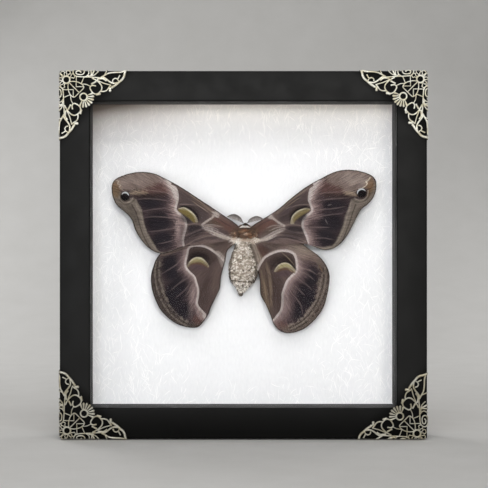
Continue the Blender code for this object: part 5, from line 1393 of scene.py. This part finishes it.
class Coat:
    """A mesh in the making, of a skin and the blades of hair on it, in millimetres."""

    def __init__(self, seed):
        self.chance = random.Random(seed)
        self.points = []
        self.faces = []
        self.tones = []
        self.tips = []

    def skin(self, points, sides, tone, tip):
        """A closed skin over rows of points, with so many points to a row."""
        start = len(self.points)
        self.points += [tuple(p) for p in points]
        self.faces += [tuple(i + start for i in f) for f in tube_faces(len(points) // sides, sides)]
        self.tones += [tone] * len(points)
        self.tips += [tip] * len(points)

    def rod(self, line, radii, sides, tone, tip):
        """A round rod along a line."""
        points = []
        for i, (point, radius) in enumerate(zip(line, radii)):
            ahead = unit(line[min(i + 1, len(line) - 1)] - line[max(i - 1, 0)])
            across = unit(np.cross(ahead, -FORWARD))
            up = np.cross(across, ahead)
            for k in range(sides):
                turn = 2 * math.pi * k / sides
                points.append(point + (across * math.cos(turn) + up * math.sin(turn)) * radius)
        self.skin(points, sides, tone, tip)

    def blade(self, root, ahead, up, length, width, tone, curl, base=0.0):
        """One tapering hair that leaves along ahead and curls towards up."""
        side = unit(np.cross(ahead, up)) * width / 2
        start = len(self.points)
        for share, breadth in ((0.0, 1.0), (0.55, 0.85)):
            middle = root + ahead * length * share + up * curl * length * share**2
            self.points += [tuple(middle - side * breadth), tuple(middle + side * breadth)]
        self.points.append(tuple(root + ahead * length + up * curl * length))
        self.faces += [(start, start + 1, start + 3, start + 2), (start + 2, start + 3, start + 4)]
        self.tones += [clamp(tone)] * 5
        self.tips += [base, base, max(base, 0.6), max(base, 0.6), 1.0]

    def hair(self, root, way, lengths, tone):
        """One loose hair near a root, roughly along a way."""
        chance = self.chance
        root = root + np.array([chance.gauss(0, 0.12), 0.0, chance.gauss(0, 0.12)])
        way = unit(way + np.array([chance.gauss(0, 0.3), 0.0, chance.gauss(0, 0.3)]))
        tone = chance.gauss(tone, 0.09)
        self.blade(root, way, FORWARD, chance.uniform(*lengths), LOOSE_WIDTH, tone, -0.06, 0.45)

    def finish(self, name, material, slot, node):
        """The piece itself, in place of a node."""
        placed = moth_place(*np.array(self.points).T)
        made = add_mesh(name, placed, self.faces, material, 180, tone=self.tones, tip=self.tips)
        dress(made, slot, node)


def ring_body(stations, sides, swell=None):
    """Smooth rings from the neck to the tail: their points in millimetres, as x, depth, height."""
    rings = smooth(stations, RING_STEPS)
    angles = 2 * math.pi * np.arange(sides) / sides
    height, middle, wide, deep = (column[:, None] for column in rings.T)
    if swell:
        scale = swell(np.linspace(0.0, 1.0, len(rings)))[:, None]
        wide, deep = wide * scale, deep * scale
    x = middle + wide * np.cos(angles)
    depth = BODY_DEPTH + deep * np.sin(angles)
    return np.stack([x, depth, np.broadcast_to(height, x.shape)], axis=-1)


def segmented(share):
    """The abdomen's soft rings, narrower at each joint."""
    return 1.0 - 0.05 * (1.0 - np.abs(np.sin(math.pi * ABDOMEN_SEGMENTS * share)))


def on_rings(rings, row, turn):
    """A point of a ringed body with its outward direction, from a row and a turn of 0 to 1."""
    rows, sides, _ = rings.shape
    row = clamp(row, 0.0, rows - 1.01)
    i = int(row)
    k = turn * sides
    a, b = int(k) % sides, (int(k) + 1) % sides
    down, across = row - i, k - int(k)
    near = rings[i, a] * (1 - across) + rings[i, b] * across
    far = rings[i + 1, a] * (1 - across) + rings[i + 1, b] * across
    point = near * (1 - down) + far * down
    out = unit(np.cross(rings[i + 1, a] - rings[i, a], rings[i, b] - rings[i, a]))
    if np.dot(out, point - rings[i].mean(axis=0)) < 0:
        out = -out
    return point, out


def wool_tone(chance, x, z, out):
    """Cream, with darker tufts along the sides, at the last joint, near the waist and at the tip."""
    tone = chance.gauss(0.67, 0.2)
    joint = JOINT_HEIGHT + JOINT_BOW * (x + 0.8) ** 2
    dark = 0.12
    if z > WAIST_END and abs(x + 0.5) < 2.2:
        dark = 0.45
    if abs(z - joint) < 0.4 or abs(out[0]) > 0.7:
        dark = 0.85
    if math.hypot(x - SPOT[0], z - SPOT[1]) < SPOT_RADIUS:
        dark = 0.95
    if z < TIP_TOP:
        dark = 1.0
    if z < PALE_TOP:
        tone += 0.25
    return chance.uniform(0.0, 0.1) if chance.random() < dark else tone


def make_abdomen():
    """Woolly cream scales in loose tufts, like worn shingles, over the ringed skin."""
    rings = ring_body(WOOL_RINGS, ABDOMEN_SIDES, segmented)
    coat = Coat("abdomen")
    chance = coat.chance
    coat.skin(rings.reshape(-1, 3), ABDOMEN_SIDES, 0.3, 0.4)
    rows = len(rings) - 1
    length = WOOL_RINGS[0][0] - WOOL_RINGS[-1][0]
    for step in range(int(length / WOOL_BAND)):
        row = (step + 0.5) * WOOL_BAND / length * rows
        girth = np.linalg.norm(np.diff(rings[int(row)], axis=0), axis=1).sum()
        tufts = max(5, int(girth))
        for tuft in range(tufts):
            turn = (tuft + 0.5 * (step % 2) + chance.uniform(-0.3, 0.3)) / tufts % 1.0
            root, out = on_rings(rings, row + chance.uniform(-0.5, 0.5), turn)
            lean = chance.gauss(0.0, 0.9)
            side = np.cross(DOWN, out)
            ahead = DOWN * math.cos(lean) + side * math.sin(lean) + out * chance.uniform(0.1, 0.5)
            ahead = unit(ahead)
            tone = wool_tone(chance, root[0], root[2], out)
            for _ in range(WOOL_BLADES):
                shift = side * chance.gauss(0.0, 0.3) + DOWN * chance.gauss(0.0, 0.14)
                way = unit(ahead + side * chance.gauss(0.0, 0.25))
                size = chance.uniform(0.7, 1.2)
                coat.blade(root + shift, way, out, size, WOOL_WIDTH, tone, -0.15, 0.2)
    coat.finish("woolly_abdomen", fur("cream_wool", *WOOL), "body_fur", "abdomen")


def make_leg(coat, joints, side):
    """A tapering leg through its joints, as part of the coat's skin, with short hairs."""
    chance = coat.chance
    line = smooth([(side * x, depth, z) for x, z, depth in joints], 4)
    radii = smooth([(r,) for r in LEG_RADII], 4)[:, 0]
    coat.rod(line, radii, LEG_SIDES, 0.2, 0.5)
    for _ in range(LEG_HAIRS):
        i = chance.randrange(len(line) - 1)
        out = unit(np.array([chance.gauss(0, 1) for _ in range(3)]))
        way = unit(unit(line[i + 1] - line[i]) + out * 0.4)
        coat.blade(line[i] + out * radii[i] * 0.8, way, out, 0.8, LEG_WIDTH, 0.3, 0.0)


def lift_of(x, z, pale_patch):
    """How much a paler patch of fur lifts the tone at a place."""
    across, up, wide, high, strength = pale_patch
    return strength * math.exp(-(((x - across) / wide) ** 2) - ((z - up) / high) ** 2)


def thorax_tone(x, z):
    """Brown, with an orange patch low in the middle and tan shoulders."""
    return 0.2 + lift_of(x, z, ORANGE_PATCH) + lift_of(abs(x), z, TAN_PATCH)


def thorax_fur(coat, rings):
    """Tufts of fur all over the thorax, shorter and paler towards the neck."""
    chance = coat.chance
    for _ in range(THORAX_TUFTS):
        tuft_row = chance.uniform(0.0, len(rings) - 1)
        tuft_turn = chance.random()
        tuft_tone = chance.gauss(0.0, 0.17)
        for _ in range(TUFT_HAIRS):
            row = chance.gauss(tuft_row, 0.3)
            root, out = on_rings(rings, row, chance.gauss(tuft_turn, 0.02) % 1.0)
            way = (chance.gauss(0.0, 0.4) + 0.12 * root[0], -0.1, chance.gauss(-0.3, 0.45))
            way = unit(way + out * chance.uniform(0.3, 0.9))
            tone = thorax_tone(root[0], root[2]) + tuft_tone + chance.gauss(0.0, 0.08)
            short = root[2] > SHORT_HAIRS_FROM
            length = chance.uniform(0.3, 0.6) if short else chance.uniform(0.8, 1.6)
            base = 0.55
            if root[2] > NECK_FROM:
                base = 0.7
                tone = 0.95 if abs(root[0]) < 2.3 and chance.random() < 0.6 else 0.15
            coat.blade(root, way, out, length, THORAX_WIDTH, tone, -0.1, base)


def make_thorax():
    """Thorax and legs, with the loose hairs of shoulders, waist, dark ruff and white collar."""
    rings = ring_body(THORAX_RINGS, THORAX_SIDES)
    middle = rings.mean(axis=(0, 1))
    rings = middle + (rings - middle) * SKIN_SHARE
    coat = Coat("thorax")
    chance = coat.chance
    coat.skin(rings.reshape(-1, 3), THORAX_SIDES, 0.2, 0.3)
    for side in (1, -1):
        for joints in LEGS:
            make_leg(coat, joints, side)
    thorax_fur(coat, rings)
    for side, groups in ((-1, SHOULDER_HAIRS), (1, SHOULDER_HAIRS), (1, WAIST_HAIRS)):
        for count, across, up, depth, way, lengths, tone in groups:
            for _ in range(count):
                root = (side * chance.gauss(*across), depth, chance.gauss(*up))
                coat.hair(root, (side * way[0], *way[1:]), lengths, tone)
    for _ in range(RUFF_HAIRS):
        coat.hair((chance.uniform(-2.6, 3.2), 11.9, 3.05), (0.0, -0.2, -1.0), (0.3, 0.8), 0.0)
    for _ in range(COLLAR_HAIRS):
        x = chance.uniform(-2.3, 2.3)
        coat.hair((x, 12.0, 3.7 - 0.08 * x * x), (x / 3, -0.1, 0.2), (0.2, 0.6), 0.97)
    coat.finish("furry_thorax", fur("brown_fur", *BROWN_FUR), "thorax_fur", "thorax")


def globe(centre, radii):
    """Points of an oval ball, in rows from top to bottom."""
    tilt = (math.pi * (np.arange(HEAD_ROWS) + 0.3) / (HEAD_ROWS - 0.4))[:, None]
    turn = 2 * math.pi * np.arange(HEAD_SIDES) / HEAD_SIDES
    height = np.broadcast_to(np.cos(tilt), (HEAD_ROWS, HEAD_SIDES))
    ball = np.stack([np.sin(tilt) * np.cos(turn), np.sin(tilt) * np.sin(turn), height], axis=-1)
    return (centre + ball * radii).reshape(-1, 3)


def make_head():
    """A small dark head sunk in fur, with a round eye on each side."""
    coat = Coat("head")
    chance = coat.chance
    x, depth, z = HEAD_CENTRE
    coat.skin(globe(HEAD_CENTRE, HEAD_RADII), HEAD_SIDES, 0.2, 0.6)
    for offset in (-EYE_OFFSET, EYE_OFFSET):
        coat.skin(globe((x + offset, depth, z - 0.2), EYE_RADII), HEAD_SIDES, 0.0, 0.6)
    for _ in range(HEAD_HAIRS):
        out = np.array([chance.gauss(0, 1), -abs(chance.gauss(0, 1)), chance.gauss(-0.2, 0.6)])
        out = unit(out)
        root = HEAD_CENTRE + out * HEAD_RADII * 0.9
        way = unit(out + (0.0, -0.2, -0.5))
        tone = chance.uniform(0.0, 0.3) if root[2] > z - 0.3 else chance.uniform(0.3, 1.0)
        coat.blade(root, way, out, chance.uniform(0.3, 0.7), HEAD_WIDTH, tone, 0.0)
    coat.finish("furry_head", fur("head_fur", *HEAD_FUR), "thorax_fur", "head")


def make_antenna(name, midline):
    """A curved shaft, and a comb of fine branches that fills the bow below it."""
    coat = Coat(name)
    chance = coat.chance
    line = np.insert(smooth(midline, 30), 1, ANTENNA_DEPTH, axis=1)
    count = len(line)
    coat.rod(line, SHAFT_RADIUS * (1 - 0.6 * np.arange(count) / count), SHAFT_SIDES, 0.2, 0.9)
    for i in range(1, 2 * count - 2):
        start = (line[i // 2] + line[(i + 1) // 2]) / 2
        end = line[0] + (line[-1] - line[0]) * (i / (2 * count - 2)) ** 1.15
        way = (end - start) * (1 + chance.uniform(-0.1, 0.18))
        tone = 0.5 + 0.25 * math.sin(i * 0.8) + chance.uniform(-0.45, 0.45)
        coat.blade(start, unit(way), FORWARD, np.linalg.norm(way), COMB_WIDTH, tone, 0.03, 0.1)
    coat.finish(f"feathered_{name}", fur(f"{name}_comb", *COMB), "antenna", name)


# ---------------------------------------------------------------- studio


def make_floor():
    """A pale floor that curves up into a backdrop."""
    look = Look("pale_floor", 0.8)
    look.set(Base_Color=look.mix(look.noise(40.0, 4.0), (214, 213, 210), (224, 223, 221)))
    curve = [(0.5 + 0.5 * math.sin(a), 0.5 - 0.5 * math.cos(a)) for a in np.linspace(0.1, 1.5, 12)]
    profile = [(-2.5, 0.0), (0.5, 0.0), *curve, (1.0, 0.6), (1.0, 2.5)]
    points = [(x, y, z) for y, z in profile for x in (-3.0, 3.0)]
    faces = [(2 * i, 2 * i + 1, 2 * i + 3, 2 * i + 2) for i in range(len(profile) - 1)]
    add_mesh("floor", points, faces, look.material)


def make_lamps():
    """Soft lamps all round, and an even white sky."""
    scene = bpy.context.scene
    for name, (where, size, power, colour) in LAMPS.items():
        lamp = bpy.data.lights.new(name, "AREA")
        lamp.size = size
        lamp.energy = power
        lamp.color = colour
        made = bpy.data.objects.new(name, lamp)
        made.location = where
        aim = Vector((0.0, 0.0, CENTRE_HEIGHT * MM)) - made.location
        made.rotation_euler = aim.to_track_quat("-Z", "Y").to_euler()
        scene.collection.objects.link(made)
    scene.world = bpy.data.worlds.new("studio")
    scene.world.use_nodes = True
    sky = scene.world.node_tree.nodes["Background"].inputs
    sky["Color"].default_value = (1.0, 1.0, 1.0, 1.0)
    sky["Strength"].default_value = SKY_STRENGTH
    scene.view_settings.view_transform = "Standard"


def make_camera():
    lens = bpy.data.cameras.new("camera")
    lens.lens = CAMERA_LENS
    lens.shift_x, lens.shift_y = CAMERA_SHIFT
    made = bpy.data.objects.new("camera", lens)
    made.location = place(CAMERA_SIDE, -CAMERA_DISTANCE, CAMERA_RISE)
    made.rotation_euler = (math.pi / 2, 0.0, 0.0)
    bpy.context.scene.collection.objects.link(made)
    bpy.context.scene.camera = made


make_camera()
make_floor()
make_lamps()
make_rails()
dress_nodes()
make_paper_fibres(paper_strand())
make_brackets()
make_wings()
make_thorax()
make_abdomen()
make_head()
make_antenna("antenna_left", ANTENNA_LEFT)
make_antenna("antenna_right", ANTENNA_RIGHT)
